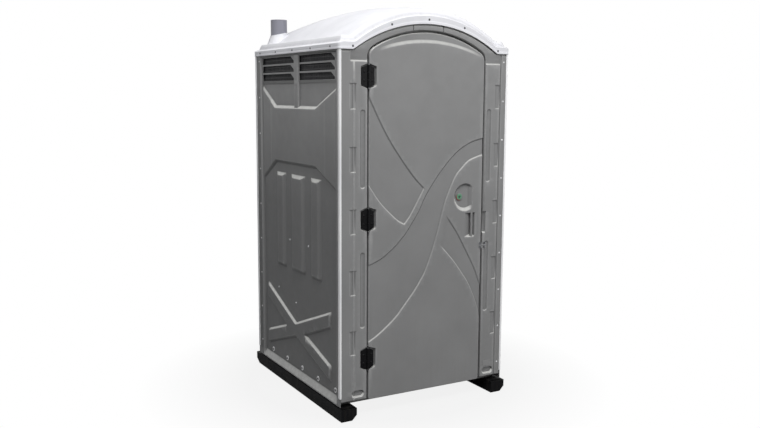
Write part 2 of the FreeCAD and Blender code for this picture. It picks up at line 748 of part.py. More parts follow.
def cross_outline(low, high, centre):
    left = low + CROSS_MARGIN_NEAR
    right = high - CROSS_MARGIN_FAR
    half_end = CROSS_ARM_END / 2
    z = CROSS_CENTRE_Z
    return [
        (centre, z + CROSS_NOTCH_Z),
        (right, z + CROSS_ARM_RISE + half_end), (right, z + CROSS_ARM_RISE - half_end),
        (centre + CROSS_NOTCH_SIDE, z),
        (right, z - CROSS_ARM_DROP + half_end), (right, z - CROSS_ARM_DROP - half_end),
        (centre, z - CROSS_NOTCH_Z),
        (left, z - CROSS_ARM_DROP - half_end), (left, z - CROSS_ARM_DROP + half_end),
        (centre - CROSS_NOTCH_SIDE, z),
        (left, z + CROSS_ARM_RISE - half_end), (left, z + CROSS_ARM_RISE + half_end),
    ]


def rib(centre, width):
    """A raised rib with gentle sides and steeper ends."""
    outlines = []
    for level, side, end in ((RELIEF, 0.0, 0.0), (RELIEF - RIB_HEIGHT, RIB_SIDE_SLOPE, RIB_END_SLOPE)):
        u0 = centre - width / 2 + side
        u1 = centre + width / 2 - side
        z0 = RIB_LOW_Z + end
        z1 = RIB_TOP_Z - end
        outlines.append(polygon([(u0, z0), (u1, z0), (u1, z1), (u0, z1)], "x", level))
    return Part.makeLoft(outlines, True, True)


def vent_slots(low, high, rib_centre):
    """Slot outlines (u, z) in two columns beside the vent rib, each with one pointed end."""
    half_rib = VENT_RIB_WIDTH / 2 + VENT_RIB_MARGIN
    columns = [(low + VENT_MARGIN_NEAR, rib_centre - half_rib),
               (rib_centre + half_rib, high - VENT_MARGIN_FAR)]
    slots = []
    for start, end in columns:
        for row in range(VENT_ROWS):
            foot = VENT_LOW_Z + row * (VENT_SLOT_HEIGHT + VENT_BAR_HEIGHT)
            top = foot + VENT_SLOT_HEIGHT
            slots.append([(start, foot), (end, foot), (end, top), (start + VENT_POINT, top)])
    return slots


def wall_sheet(u_low, u_high, flange_low, slope_low, flange_high, slope_high):
    """A formed wall between two edges, with a flange and its slope along each."""
    field_low = u_low + flange_low + slope_low
    field_high = u_high - flange_high - slope_high
    centre = (field_low + field_high) / 2
    pieces = [box(RELIEF, RELIEF + FORM_DEPTH, u_low, u_high, WALL_FOOT_Z, ROOF_SEAT_Z)]
    flanges = ((u_low, u_low + flange_low, field_low), (u_high, u_high - flange_high, field_high))
    for edge, flange, field in flanges:
        corners = [(0, edge), (0, flange), (RELIEF, field), (RELIEF + 1, field), (RELIEF + 1, edge)]
        pieces.append(prism(corners, "z", WALL_FOOT_Z, ROOF_SEAT_Z))
    ledge_top = WALL_FOOT_Z + LEDGE_RISE
    ledge = [(0, WALL_FOOT_Z), (0, WALL_FOOT_Z + LEDGE_LIP), (RELIEF, ledge_top), (RELIEF + 1, ledge_top),
             (RELIEF + 1, WALL_FOOT_Z)]
    pieces.append(prism(ledge, "y", u_low, u_high))
    flange_z = ROOF_SEAT_Z - TOP_FLANGE_HEIGHT
    top = [(0, ROOF_SEAT_Z), (0, flange_z), (RELIEF, flange_z - TOP_FLANGE_SLOPE),
           (RELIEF + 1, flange_z - TOP_FLANGE_SLOPE), (RELIEF + 1, ROOF_SEAT_Z)]
    pieces.append(prism(top, "y", u_low, u_high))
    pieces.append(raised(band_outline(field_low, field_high), "x", RELIEF, RELIEF - BAND_HEIGHT, BAND_SLOPE))
    for step, width in ((-1, RIB_WIDTH), (0, MIDDLE_RIB_WIDTH), (1, RIB_WIDTH)):
        pieces.append(rib(centre + step * RIB_PITCH, width))
    cross = cross_outline(field_low, field_high, centre + CROSS_SHIFT)
    pieces.append(raised(cross, "x", RELIEF, RELIEF - CROSS_HEIGHT, CROSS_SLOPE))
    half_rib = VENT_RIB_WIDTH / 2
    vent_rib = [(RELIEF + 1, centre - half_rib), (RELIEF, centre - half_rib),
                (RELIEF - VENT_RIB_HEIGHT, centre - half_rib + VENT_RIB_SLOPE),
                (RELIEF - VENT_RIB_HEIGHT, centre + half_rib - VENT_RIB_SLOPE),
                (RELIEF, centre + half_rib), (RELIEF + 1, centre + half_rib)]
    pieces.append(prism(vent_rib, "z", BAND_TOP_Z - BAND_SLOPE, flange_z))
    sheet = formed_sheet(fuse_all(pieces), Vector(1, 0, 0), SHEET)
    slots = [prism(slot, "x", -1, RELIEF + SHEET + 1) for slot in vent_slots(field_low, field_high, centre)]
    return sheet.cut(Part.makeCompound(slots))


def side_wall():
    """The left wall, with bolt holes along its foot; the right wall is its mirror image."""
    wall = wall_sheet(-SKIN_Y, SKIN_Y, FRAME_FLANGE_WIDTH, FLANGE_SLOPE, REAR_FLANGE_WIDTH,
                      REAR_FLANGE_SLOPE)
    wall = wall.translated(Vector(-SKIN_X, 0, 0))
    for y in wall_bolt_rows():
        wall = wall.cut(rod(Vector(-FIELD_X - 1, y, WALL_BOLT_Z), Vector(1, 0, 0),
                            WALL_BOLT_RADIUS + BOLT_HOLE_CLEARANCE, SHEET + 2))
    return wall


def turned_to_back(shape):
    """Turns a piece that was built for the left wall's plane so that it looks towards +Y."""
    turned = shape.copy()
    turned.rotate(Vector(0, 0, 0), Vector(0, 0, 1), -90)
    return turned.translated(Vector(0, SKIN_Y, 0))


def back_wall():
    wall = wall_sheet(-INNER_X, INNER_X, BACK_FLANGE_WIDTH, BACK_FLANGE_SLOPE, BACK_FLANGE_WIDTH,
                      BACK_FLANGE_SLOPE)
    gable = arch_block(SKIN_Y - SHEET, SKIN_Y, ARCH_HALF, ROOF_SEAT_Z, HEADER_APEX_Z, INNER_X,
                       ROOF_SEAT_Z - 1)
    return turned_to_back(wall).fuse(gable).removeSplitter()


def vent_screen(u_low, u_high):
    """A perforated screen just behind the vent slots, on the wall's inner face."""
    low_z = VENT_LOW_Z - SCREEN_BORDER
    height = VENT_ROWS * VENT_SLOT_HEIGHT + (VENT_ROWS - 1) * VENT_BAR_HEIGHT + 2 * SCREEN_BORDER
    x = RELIEF + SHEET
    pitch = SCREEN_HOLE + SCREEN_BAR
    columns = int((u_high - u_low - 2 * SCREEN_BORDER + SCREEN_BAR) / pitch)
    rows = int((height - SCREEN_BORDER + SCREEN_BAR) / pitch)
    start_u = (u_low + u_high - columns * pitch + SCREEN_BAR) / 2
    start_z = low_z + (height - rows * pitch + SCREEN_BAR) / 2
    top_z = low_z + height
    wires = [polygon([(u_low, low_z), (u_high, low_z), (u_high, top_z), (u_low, top_z)], "x", x)]
    for i in range(columns):
        for j in range(rows):
            u = start_u + i * pitch
            z = start_z + j * pitch
            hole = [(u, z), (u + SCREEN_HOLE, z), (u + SCREEN_HOLE, z + SCREEN_HOLE), (u, z + SCREEN_HOLE)]
            wires.append(polygon(hole, "x", x))
    face = Part.Face(wires, "Part::FaceMakerBullseye")
    return face.extrude(Vector(SCREEN_THICKNESS, 0, 0))


def side_screens():
    """The left wall's screens, one each side of the vent rib."""
    centre = (FIELD_FRONT_Y + FIELD_REAR_Y) / 2
    half_rib = VENT_RIB_WIDTH / 2
    spans = ((FIELD_FRONT_Y + 1, centre - half_rib), (centre + half_rib, FIELD_REAR_Y - 1))
    return [vent_screen(a, b).translated(Vector(-SKIN_X, 0, 0)) for a, b in spans]


def back_screens():
    field = INNER_X - BACK_FLANGE_WIDTH - BACK_FLANGE_SLOPE
    half_rib = VENT_RIB_WIDTH / 2
    spans = ((-field + 1, -half_rib), (half_rib, field - 1))
    return [turned_to_back(vent_screen(a, b)) for a, b in spans]


def corner_post(side, end):
    """An angle trim over one corner."""
    x_outer = side * HALF_WIDTH
    y_outer = end * HALF_DEPTH
    x_leg = sorted((x_outer, x_outer - side * POST_FRONT_LEG))
    x_skin = sorted((x_outer, x_outer - side * POST_THICKNESS))
    y_leg = sorted((y_outer, y_outer - end * POST_SIDE_LEG))
    y_skin = sorted((y_outer, y_outer - end * POST_THICKNESS))
    top_z = EAVE_Z - 1.0
    front = box(x_leg[0], x_leg[1], y_skin[0], y_skin[1], POST_FOOT_Z, top_z)
    flank = box(x_skin[0], x_skin[1], y_leg[0], y_leg[1], POST_FOOT_Z, top_z)
    return front.fuse(flank).removeSplitter()


# Front frame

def frame_outline_block(margin, y0, y1):
    """Everything inside the frame's outer edge, moved in by a margin."""
    return arch_block(y0, y1, ARCH_HALF, ROOF_SEAT_Z - margin, HEADER_APEX_Z - margin, INNER_X - margin,
                      FRAME_FOOT_Z + margin)


def opening_block(margin, y0, y1):
    """The door's opening, moved out from the door by a margin, and open below."""
    return arched_face(-margin, DOOR_FOOT_Z - 60.0, y0).extrude(Vector(0, y1 - y0, 0))


def frame_details(side, edge_x):
    """Cuts in one jamb. The edge is the jamb's edge at the opening; side is +1 on the right."""
    face = FACE_Y - 1
    cuts = []
    short_x = edge_x + side * SHORT_SLOT_OFFSET
    for i in range(SHORT_SLOT_COUNT):
        z = SHORT_SLOT_FIRST_Z + i * SHORT_SLOT_PITCH
        cuts.append(box(short_x - SHORT_SLOT_WIDTH / 2, short_x + SHORT_SLOT_WIDTH / 2, face,
                        FACE_Y + SLOT_DEPTH, z - SHORT_SLOT_HEIGHT / 2, z + SHORT_SLOT_HEIGHT / 2))
    for z in LONG_SLOT_CENTRES_Z:
        cuts.append(round_slot(edge_x + side * LONG_SLOT_OFFSET, z, LONG_SLOT_WIDTH, LONG_SLOT_HEIGHT, face,
                               FACE_Y + SLOT_DEPTH))
    cuts.append(round_slot(edge_x + side * DRAIN_SLOT_OFFSET, DRAIN_SLOT_CENTRE_Z, DRAIN_SLOT_LENGTH,
                           DRAIN_SLOT_HEIGHT, face, FACE_Y + DRAIN_SLOT_DEPTH))
    ledge = sorted((edge_x, edge_x + side * HEADER_LEDGE_LENGTH))
    cuts.append(box(ledge[0], ledge[1], face, FACE_Y + HEADER_LEDGE_DEPTH, HEADER_LEDGE_Z,
                    HEADER_LEDGE_Z + HEADER_LEDGE_HEIGHT))
    groove = sorted((side * (INNER_X - EDGE_GROOVE_FROM_EDGE),
                     side * (INNER_X - EDGE_GROOVE_FROM_EDGE + EDGE_GROOVE_WIDTH)))
    if side > 0:
        cuts.append(box(groove[0], groove[1], face, FACE_Y + EDGE_GROOVE_DEPTH, FRAME_FOOT_Z - 1,
                        EAVE_Z + 10))
        cuts.append(box(edge_x, edge_x + GRIP_RECESS_WIDTH, face, FACE_Y + GRIP_RECESS_DEPTH,
                        GRIP_RECESS_CENTRE_Z - GRIP_RECESS_HEIGHT / 2,
                        GRIP_RECESS_CENTRE_Z + GRIP_RECESS_HEIGHT / 2))
    return cuts


def hinge_pocket(side, z):
    """The recess for one hinge: side -1 is in the frame, +1 in the door."""
    edge = HINGE_X + side * DOOR_GAP / 2
    inner = edge - side * 1.0
    far = HINGE_X + side * (FRAME_POCKET_REACH if side < 0 else DOOR_POCKET_REACH)
    half = HINGE_HALF_HEIGHT + POCKET_MARGIN
    far_half = LEAF_HALF_HEIGHT + POCKET_MARGIN
    outline = [(inner, z - half), (far, z - far_half), (far, z + far_half), (inner, z + half)]
    return prism(outline, "y", FACE_Y - 1, FACE_Y + LEAF_THICKNESS - LEAF_PROUD)


def front_frame():
    """The whole frame, cut into left, header joint and right at the two upright joints."""
    ring = frame_outline_block(0, FACE_Y, FRAME_BACK_Y)
    ring = ring.cut(opening_block(DOOR_GAP, FACE_Y - 1, FRAME_BACK_Y + 1))
    hollow_y = FACE_Y + FRAME_FACE
    hollow = frame_outline_block(FRAME_EDGE, hollow_y, FRAME_BACK_Y + 1)
    hollow = hollow.cut(opening_block(DOOR_GAP + FRAME_EDGE, hollow_y - 1, FRAME_BACK_Y + 2))
    pad_x = OPENING_RIGHT + PAD_WIDTH
    pad = box(OPENING_RIGHT, pad_x, hollow_y - 2, FRAME_BACK_Y, LATCH_Z - PAD_HALF_HEIGHT,
              LATCH_Z + PAD_HALF_HEIGHT)
    ring = ring.cut(hollow.cut(pad))
    stop_y = FRAME_BACK_Y - STOP_THICKNESS
    stop = opening_block(DOOR_GAP + 1, stop_y, FRAME_BACK_Y)
    stop = stop.cut(opening_block(-STOP_OVERLAP, stop_y - 1, FRAME_BACK_Y + 1))
    stop = stop.common(box(-SKIN_X, SKIN_X, stop_y, FRAME_BACK_Y, FRAME_FOOT_Z, HEADER_APEX_Z))
    ring = ring.fuse(stop).removeSplitter()
    rebate = arch_block(FACE_Y - 1, FACE_Y + HEADER_REBATE, ARCH_HALF, ROOF_SEAT_Z + 1,
                        HEADER_APEX_Z + 1, INNER_X - 1, EAVE_Z - 2 * HEADER_REBATE_DROP)
    rebate = rebate.cut(arch_block(FACE_Y - 2, FACE_Y + HEADER_REBATE + 1, ARCH_HALF,
                                   EAVE_Z - HEADER_REBATE_DROP, EAVE_Z + ARCH_RISE - HEADER_REBATE_DROP,
                                   INNER_X + 1, EAVE_Z - 3 * HEADER_REBATE_DROP))
    cuts = [rebate]
    cuts += frame_details(-1, OPENING_LEFT)
    cuts += frame_details(1, OPENING_RIGHT)
    cuts += [hinge_pocket(-1, z) for z in HINGE_CENTRES_Z]
    for cut in cuts:
        ring = ring.cut(cut)
    reach = SKIN_X + SPARE
    top = HEADER_APEX_Z + SPARE
    y0 = FACE_Y - SPARE
    y1 = FRAME_BACK_Y + SPARE
    left = ring.common(box(-reach, HEADER_JOINT_LEFT, y0, y1, 0, top))
    low = DOOR_APEX_Z - DOOR_CROWN_EDGE_DROP
    joint = ring.common(box(HEADER_JOINT_LEFT, HEADER_JOINT_RIGHT, y0, y1, low, top))
    right = ring.common(box(HEADER_JOINT_RIGHT, reach, y0, y1, 0, top))
    return left, joint, right


# Roof

def crown_apex(share):
    """The crown's height along the tier, whose ends are at -1 and 1."""
    return EAVE_Z + ARCH_RISE + ROOF_BAND_APEX + TIER_APEX_RISE + CROWN_RISE * (1 - share ** 2)


def dome(shrink, lift, base_z):
    """The upper tier and crown: a vault whose apex rises towards the middle of the depth."""
    middle = (TIER_INSET - TIER_REAR_INSET) / 2
    half_depth = ROOF_HALF_DEPTH - (TIER_INSET + TIER_REAR_INSET) / 2
    reach = ROOF_HALF_WIDTH - TIER_INSET - shrink
    half = ARCH_HALF + 5.0 - shrink
    side_z = EAVE_Z + ROOF_BAND_SIDE + TIER_RISE - shrink + lift
    sections = []
    for i in range(ROOF_STATIONS):
        share = 2 * i / (ROOF_STATIONS - 1) - 1
        y = middle + share * (half_depth - shrink)
        apex = crown_apex(share) - shrink + lift
        sections.append(arch_wire(y, half, side_z, apex, reach, base_z))
    return Part.makeLoft(sections, True, False)


def pipe_rod(radius, low, high):
    return rod(Vector(PIPE_X, PIPE_Y, low), Vector(0, 0, 1), radius, high - low)


def roof_form(lift):
    """The roof's outer form, filled below, and lifted a little to seat a piece on it."""
    band_z = EAVE_Z + ROOF_BAND_SIDE
    band_apex = EAVE_Z + ARCH_RISE + ROOF_BAND_APEX
    band = arch_block(-ROOF_HALF_DEPTH, ROOF_HALF_DEPTH, ARCH_HALF, band_z + lift, band_apex + lift,
                      ROOF_HALF_WIDTH, EAVE_Z - 2 * SPARE)
    return band.fuse(dome(0, lift, band_z - SPARE))


def roof():
    depth = ROOF_HALF_DEPTH
    inner = depth - ROOF_WALL
    band_z = EAVE_Z + ROOF_BAND_SIDE
    band_apex = EAVE_Z + ARCH_RISE + ROOF_BAND_APEX
    low_z = EAVE_Z - 2 * SPARE
    outer = roof_form(0)
    void = arch_block(-inner, inner, ARCH_HALF, band_z - ROOF_WALL, band_apex - ROOF_WALL,
                      ROOF_HALF_WIDTH - ROOF_WALL, low_z - 1)
    void = void.fuse(dome(ROOF_WALL, 0, band_z - 2 * SPARE))
    below = arch_block(-depth - 1, depth + 1, ARCH_HALF, EAVE_Z, EAVE_Z + ARCH_RISE, ROOF_HALF_WIDTH + 1,
                       low_z - 2)
    shell = outer.cut(void).cut(below)
    return shell.cut(pipe_rod(PIPE_HOLE_RADIUS, EAVE_Z, crown_apex(0)))


def vent_pipe():
    low = TANK_TOP_Z - PIPE_DIP
    outer = pipe_rod(PIPE_RADIUS, low, PIPE_TOP_Z)
    return outer.cut(pipe_rod(PIPE_RADIUS - PIPE_WALL, low - 1, PIPE_TOP_Z + 1))


def vent_collar():
    """A boss round the pipe: it flares out over the roof, and its top leans with the roof's slope."""
    left = PIPE_X - COLLAR_RADIUS
    right = PIPE_X + COLLAR_RADIUS
    side_view = [(left, COLLAR_FOOT_Z), (right, COLLAR_FOOT_Z), (right, COLLAR_TOP_Z),
                 (left, COLLAR_TOP_Z - COLLAR_TOP_LEAN)]
    neck = prism(side_view, "y", PIPE_Y - COLLAR_RADIUS, PIPE_Y + COLLAR_RADIUS)
    neck = neck.common(pipe_rod(COLLAR_RADIUS, COLLAR_FOOT_Z, COLLAR_TOP_Z))
    flare = Part.makeCone(COLLAR_FLARE_RADIUS, COLLAR_RADIUS, COLLAR_FLARE_TOP_Z - COLLAR_FOOT_Z,
                          Vector(PIPE_X, PIPE_Y, COLLAR_FOOT_Z), Vector(0, 0, 1))
    boss = neck.fuse(flare).removeSplitter()
    boss = boss.cut(pipe_rod(PIPE_RADIUS + PIPE_CLEARANCE, COLLAR_FOOT_Z - 1, COLLAR_TOP_Z + 1))
    return boss.cut(roof_form(COLLAR_LIFT))


# Door

def door_outer_skin():
    back = DOOR_INNER_Y
    skin = arched_face(0, DOOR_FOOT_Z, FACE_Y).extrude(Vector(0, DOOR_SKIN, 0))
    rim_y = FACE_Y + DOOR_SKIN
    rim = arched_face(0, DOOR_FOOT_Z, rim_y).extrude(Vector(0, back - rim_y, 0))
    rim = rim.cut(arched_face(DOOR_RIM_WIDTH, DOOR_FOOT_Z + DOOR_RIM_WIDTH, rim_y - 1).extrude(
        Vector(0, back - rim_y + 2, 0)))
    scoop_back = box(SCOOP_CENTRE_X - SCOOP_RADIUS - BACKING_MARGIN, SCOOP_RIGHT_X + BACKING_MARGIN, rim_y,
                     rim_y + BACKING_DEPTH, SCOOP_CENTRE_Z - SCOOP_RADIUS - BACKING_MARGIN,
                     SCOOP_CENTRE_Z + SCOOP_RADIUS + BACKING_MARGIN)
    pull_back = box(PULL_LEFT_X - BACKING_MARGIN, PULL_RIGHT_X + BACKING_MARGIN, rim_y, back,
                    PULL_LOW_Z - BACKING_MARGIN, PULL_LOW_Z + PULL_HEIGHT + BACKING_MARGIN)
    door = fuse_all([skin, rim, scoop_back, pull_back])
    cuts = []
    for upper, lower, tip in ((LEAF_UPPER, LEAF_LOWER, LEAF_TIP), (SWOOSH_UPPER, SWOOSH_LOWER, None),
                              (BLADE_UPPER, BLADE_LOWER, None)):
        face = relief_face(upper, lower, FACE_Y - 1, tip)
        cuts.append(face.extrude(Vector(0, DOOR_RELIEF + 1, 0)))
    cuts.append(door_crown())
    cuts += [hinge_pocket(1, z) for z in HINGE_CENTRES_Z]
    cuts.append(latch_scoop())
    for radius, depth in ((DISC_RADIUS + SLIDE_CLEARANCE, DISC_RECESS),
                          (SPINDLE_RADIUS + RUNNING_CLEARANCE, DOOR_THICKNESS)):
        cuts.append(rod(Vector(LATCH_X, FACE_Y - 1, LATCH_Z), Vector(0, 1, 0), radius, depth + 1))
    cuts.append(pull_pocket())
    for cut in cuts:
        door = door.cut(cut)
    return door


def door_crown():
    """A shallow step that runs under the door's arched top."""
    band = arched_face(DOOR_CROWN_INSET, DOOR_FOOT_Z + DOOR_CROWN_INSET, FACE_Y - 1).extrude(
        Vector(0, DOOR_CROWN_DEPTH + 1, 0))
    half = DOOR_RIGHT - DOOR_CROWN_INSET - 20.0
    below = arch_block(FACE_Y - 2, FACE_Y + DOOR_CROWN_DEPTH + 1, half, DOOR_APEX_Z - DOOR_CROWN_EDGE_DROP,
                       DOOR_APEX_Z - DOOR_CROWN_DROP, SKIN_X, 0)
    return band.cut(below)


def latch_scoop():
    """A round scoop whose floor ramps out to the door's face at the right."""
    left = SCOOP_CENTRE_X - SCOOP_RADIUS
    wedge = prism([(left, FACE_Y - 1), (SCOOP_RIGHT_X, FACE_Y - 1), (SCOOP_RIGHT_X, FACE_Y),
                   (left, FACE_Y + SCOOP_DEPTH)], "z", SCOOP_CENTRE_Z - SCOOP_RADIUS - 1,
                  SCOOP_CENTRE_Z + SCOOP_RADIUS + 1)
    centre = Vector(SCOOP_CENTRE_X, FACE_Y - 2, SCOOP_CENTRE_Z)
    return wedge.common(rod(centre, Vector(0, 1, 0), SCOOP_RADIUS, SCOOP_DEPTH + 4))


def pull_pocket():
    block = box(PULL_LEFT_X, PULL_RIGHT_X, FACE_Y - 1, FACE_Y + PULL_DEPTH, PULL_LOW_Z,
                PULL_LOW_Z + PULL_HEIGHT)
    upright = [edge for edge in block.Edges if abs(edge.tangentAt(edge.FirstParameter).y) > 0.99]
    return block.makeFillet(PULL_CORNER, upright)


def door_inner_skin():
    skin = arched_face(0, DOOR_FOOT_Z, DOOR_INNER_Y).extrude(Vector(0, DOOR_INNER_SKIN, 0))
    return skin.cut(rod(Vector(LATCH_X, DOOR_INNER_Y - 1, LATCH_Z), Vector(0, 1, 0),
                        SPINDLE_RADIUS + RUNNING_CLEARANCE, DOOR_INNER_SKIN + 2))


def pull_handle():
    bar = box(PULL_BAR_LEFT_X, PULL_BAR_LEFT_X + PULL_BAR_WIDTH, FACE_Y, FACE_Y + PULL_BAR_DEPTH, PULL_LOW_Z,
              PULL_LOW_Z + PULL_HEIGHT)
    front = [edge for edge in bar.Edges
             if abs(edge.tangentAt(edge.FirstParameter).z) > 0.99 and edge.CenterOfMass.y < FACE_Y + 1]
    return bar.makeFillet(4.0, front)


def hinge(z):
    """One hinge: frame leaf, door leaf and pin."""
    third = (HINGE_HALF_HEIGHT - KNUCKLE_GAP) / 3
    plate_y = FACE_Y - LEAF_PROUD
    back_y = plate_y + LEAF_THICKNESS
    bore = rod(Vector(HINGE_X, HINGE_Y, z - HINGE_HALF_HEIGHT - 1), Vector(0, 0, 1),
               HINGE_PIN_RADIUS + RUNNING_CLEARANCE, 2 * HINGE_HALF_HEIGHT + 2)
    leaves = []
    for side, reach in ((-1, FRAME_LEAF_REACH), (1, DOOR_LEAF_REACH)):
        near = HINGE_X + side * (KNUCKLE_RADIUS + KNUCKLE_CLEARANCE)
        far = HINGE_X + side * reach
        share = (KNUCKLE_RADIUS + KNUCKLE_CLEARANCE) / reach
        near_half = HINGE_HALF_HEIGHT - (HINGE_HALF_HEIGHT - LEAF_HALF_HEIGHT) * share
        outline = [(near, z - near_half), (far, z - LEAF_HALF_HEIGHT), (far, z + LEAF_HALF_HEIGHT),
                   (near, z + near_half)]
        shapes = [prism(outline, "y", plate_y, back_y)]
        if side < 0:
            spans = [(z - HINGE_HALF_HEIGHT, z - third - KNUCKLE_GAP / 2),
                     (z + third + KNUCKLE_GAP / 2, z + HINGE_HALF_HEIGHT)]
        else:
            spans = [(z - third + KNUCKLE_GAP / 2, z + third - KNUCKLE_GAP / 2)]
        for low, high in spans:
            shapes.append(rod(Vector(HINGE_X, HINGE_Y, low), Vector(0, 0, 1), KNUCKLE_RADIUS, high - low))
            tongue = sorted((HINGE_X, near + side))
            reach_low = max(low, z - near_half)
            reach_high = min(high, z + near_half)
            tongue_back = HINGE_Y + KNUCKLE_RADIUS - 1
            shapes.append(box(tongue[0], tongue[1], plate_y, tongue_back, reach_low, reach_high))
        leaves.append(fuse_all(shapes).cut(bore))
    pin = rod(Vector(HINGE_X, HINGE_Y, z - HINGE_HALF_HEIGHT), Vector(0, 0, 1), HINGE_PIN_RADIUS,
              2 * HINGE_HALF_HEIGHT)
    for low in (z - HINGE_HALF_HEIGHT - PIN_HEAD_HEIGHT, z + HINGE_HALF_HEIGHT):
        pin = pin.fuse(rod(Vector(HINGE_X, HINGE_Y, low), Vector(0, 0, 1), PIN_HEAD_RADIUS, PIN_HEAD_HEIGHT))
    return leaves[0], leaves[1], pin.removeSplitter()


def hinge_screws(side):
    screws = []
    x = HINGE_X + side * HINGE_SCREW_SHARE * (FRAME_LEAF_REACH if side < 0 else DOOR_LEAF_REACH)
    for z in HINGE_CENTRES_Z:
        for step in (-1, 1):
            centre = Vector(x, FACE_Y - LEAF_PROUD, z + step * HINGE_SCREW_SPREAD)
            screws.append(button(centre, Vector(0, -1, 0), HINGE_SCREW_RADIUS, HINGE_SCREW_HEAD))
    return screws


# Latch

CRANK_RADIUS = BOLT_TRAVEL / math.sqrt(2)
BOLT_FRONT_Y = FRAME_BACK_Y + 0.5
BOLT_BACK_Y = BOLT_FRONT_Y + BOLT_THICKNESS
HOUSING_BACK_Y = DOOR_BACK_Y + HOUSING_DEPTH
CAM_BACK_Y = BOLT_FRONT_Y - 2 * SLIDE_CLEARANCE


def latch_housing():
    case = box(HOUSING_LEFT_X, HOUSING_RIGHT_X, DOOR_BACK_Y, HOUSING_BACK_Y, LATCH_Z - HOUSING_HALF_HEIGHT,
               LATCH_Z + HOUSING_HALF_HEIGHT)
    edges = [edge for edge in case.Edges if edge.CenterOfMass.y > HOUSING_BACK_Y - 1]
    case = case.makeChamfer(3.0, edges)
    case = case.cut(box(HOUSING_LEFT_X + HOUSING_WALL, HOUSING_RIGHT_X - HOUSING_WALL, DOOR_BACK_Y - 1,
                        HOUSING_BACK_Y - HOUSING_WALL, LATCH_Z - HOUSING_HALF_HEIGHT + HOUSING_WALL,
                        LATCH_Z + HOUSING_HALF_HEIGHT - HOUSING_WALL))
    half = BOLT_HALF_HEIGHT + SLIDE_CLEARANCE
    case = case.cut(box(HOUSING_RIGHT_X - HOUSING_WALL - 1, HOUSING_RIGHT_X + 1,
                        BOLT_FRONT_Y - SLIDE_CLEARANCE, BOLT_BACK_Y + SLIDE_CLEARANCE, LATCH_Z - half,
                        LATCH_Z + half))
    return case.cut(rod(Vector(LATCH_X, HOUSING_BACK_Y - HOUSING_WALL - 1, LATCH_Z), Vector(0, 1, 0),
                        SPINDLE_RADIUS + RUNNING_CLEARANCE, HOUSING_WALL + 2))


def drive_pin_centre():
    """The drive pin at rest: 45 degrees to the left of straight up from the spindle."""
    step = CRANK_RADIUS / math.sqrt(2)
    return LATCH_X - step, LATCH_Z + step


def latch_knob():
    """Knob, spindle and cam in one piece; the cam's pin drives the bolt."""
    start_y = FACE_Y + DISC_RECESS
    spindle = rod(Vector(LATCH_X, start_y, LATCH_Z), Vector(0, 1, 0), SPINDLE_RADIUS,
                  HOUSING_BACK_Y + 2 - start_y)
    cam = rod(Vector(LATCH_X, CAM_BACK_Y - CAM_THICKNESS, LATCH_Z), Vector(0, 1, 0), CAM_RADIUS,
              CAM_THICKNESS)
    pin_x, pin_z = drive_pin_centre()
    pin = rod(Vector(pin_x, CAM_BACK_Y - 1, pin_z), Vector(0, 1, 0), DRIVE_PIN_RADIUS, BOLT_THICKNESS)
    knob_y = HOUSING_BACK_Y + SLIDE_CLEARANCE
    knob = rod(Vector(LATCH_X, knob_y, LATCH_Z), Vector(0, 1, 0), KNOB_RADIUS, KNOB_DEPTH)
    grip = box(LATCH_X - KNOB_GRIP_THICKNESS / 2, LATCH_X + KNOB_GRIP_THICKNESS / 2, knob_y + KNOB_DEPTH - 1,
               knob_y + KNOB_DEPTH + KNOB_GRIP_DEPTH, LATCH_Z - KNOB_RADIUS + 2, LATCH_Z + KNOB_RADIUS - 2)
    return fuse_all([spindle, cam, pin, knob, grip])


def indicator_disc():
    y = FACE_Y + DISC_RECESS - DISC_THICKNESS
    return rod(Vector(LATCH_X, y, LATCH_Z), Vector(0, 1, 0), DISC_RADIUS, DISC_THICKNESS)


def latch_bolt():
    """The sliding bolt, with a slotted tail above the spindle for the drive pin."""
    bar = box(BOLT_START_X, BOLT_END_X, BOLT_FRONT_Y, BOLT_BACK_Y, LATCH_Z - BOLT_HALF_HEIGHT,
              LATCH_Z + BOLT_HALF_HEIGHT)
    nose = [edge for edge in bar.Edges if edge.CenterOfMass.x > BOLT_END_X - 1]
    bar = bar.makeChamfer(2.0, nose)
    pin_x, pin_z = drive_pin_centre()
    slot_half = DRIVE_PIN_RADIUS + DRIVE_SLOT_CLEARANCE
    tail_left = pin_x - slot_half - 5.0
    tail_low = LATCH_Z + BOLT_HALF_HEIGHT
    tail = box(tail_left, BOLT_START_X + SPARE, BOLT_FRONT_Y, BOLT_BACK_Y, tail_low,
               tail_low + BOLT_TAIL_RISE)
    bolt = bar.fuse(tail).removeSplitter()
    slot_top = LATCH_Z + CRANK_RADIUS + slot_half
    slot = box(pin_x - slot_half, pin_x + slot_half, BOLT_FRONT_Y - 1, BOLT_BACK_Y + 1, pin_z - slot_half,
               slot_top)
    return bolt.cut(slot)


def latch_keeper():
    """A bridge on the jamb's inner face that the bolt slides into."""
    x0 = OPENING_RIGHT + KEEPER_SETBACK
    half = BOLT_HALF_HEIGHT + 1.0
    outer = half + KEEPER_WALL
    case = box(x0, x0 + KEEPER_LENGTH, FRAME_BACK_Y, FRAME_BACK_Y + KEEPER_DEPTH, LATCH_Z - outer,
               LATCH_Z + outer)
    return case.cut(box(x0 - 1, x0 + KEEPER_LENGTH + 1, FRAME_BACK_Y - 1, BOLT_BACK_Y + 1.0,
                        LATCH_Z - half, LATCH_Z + half))


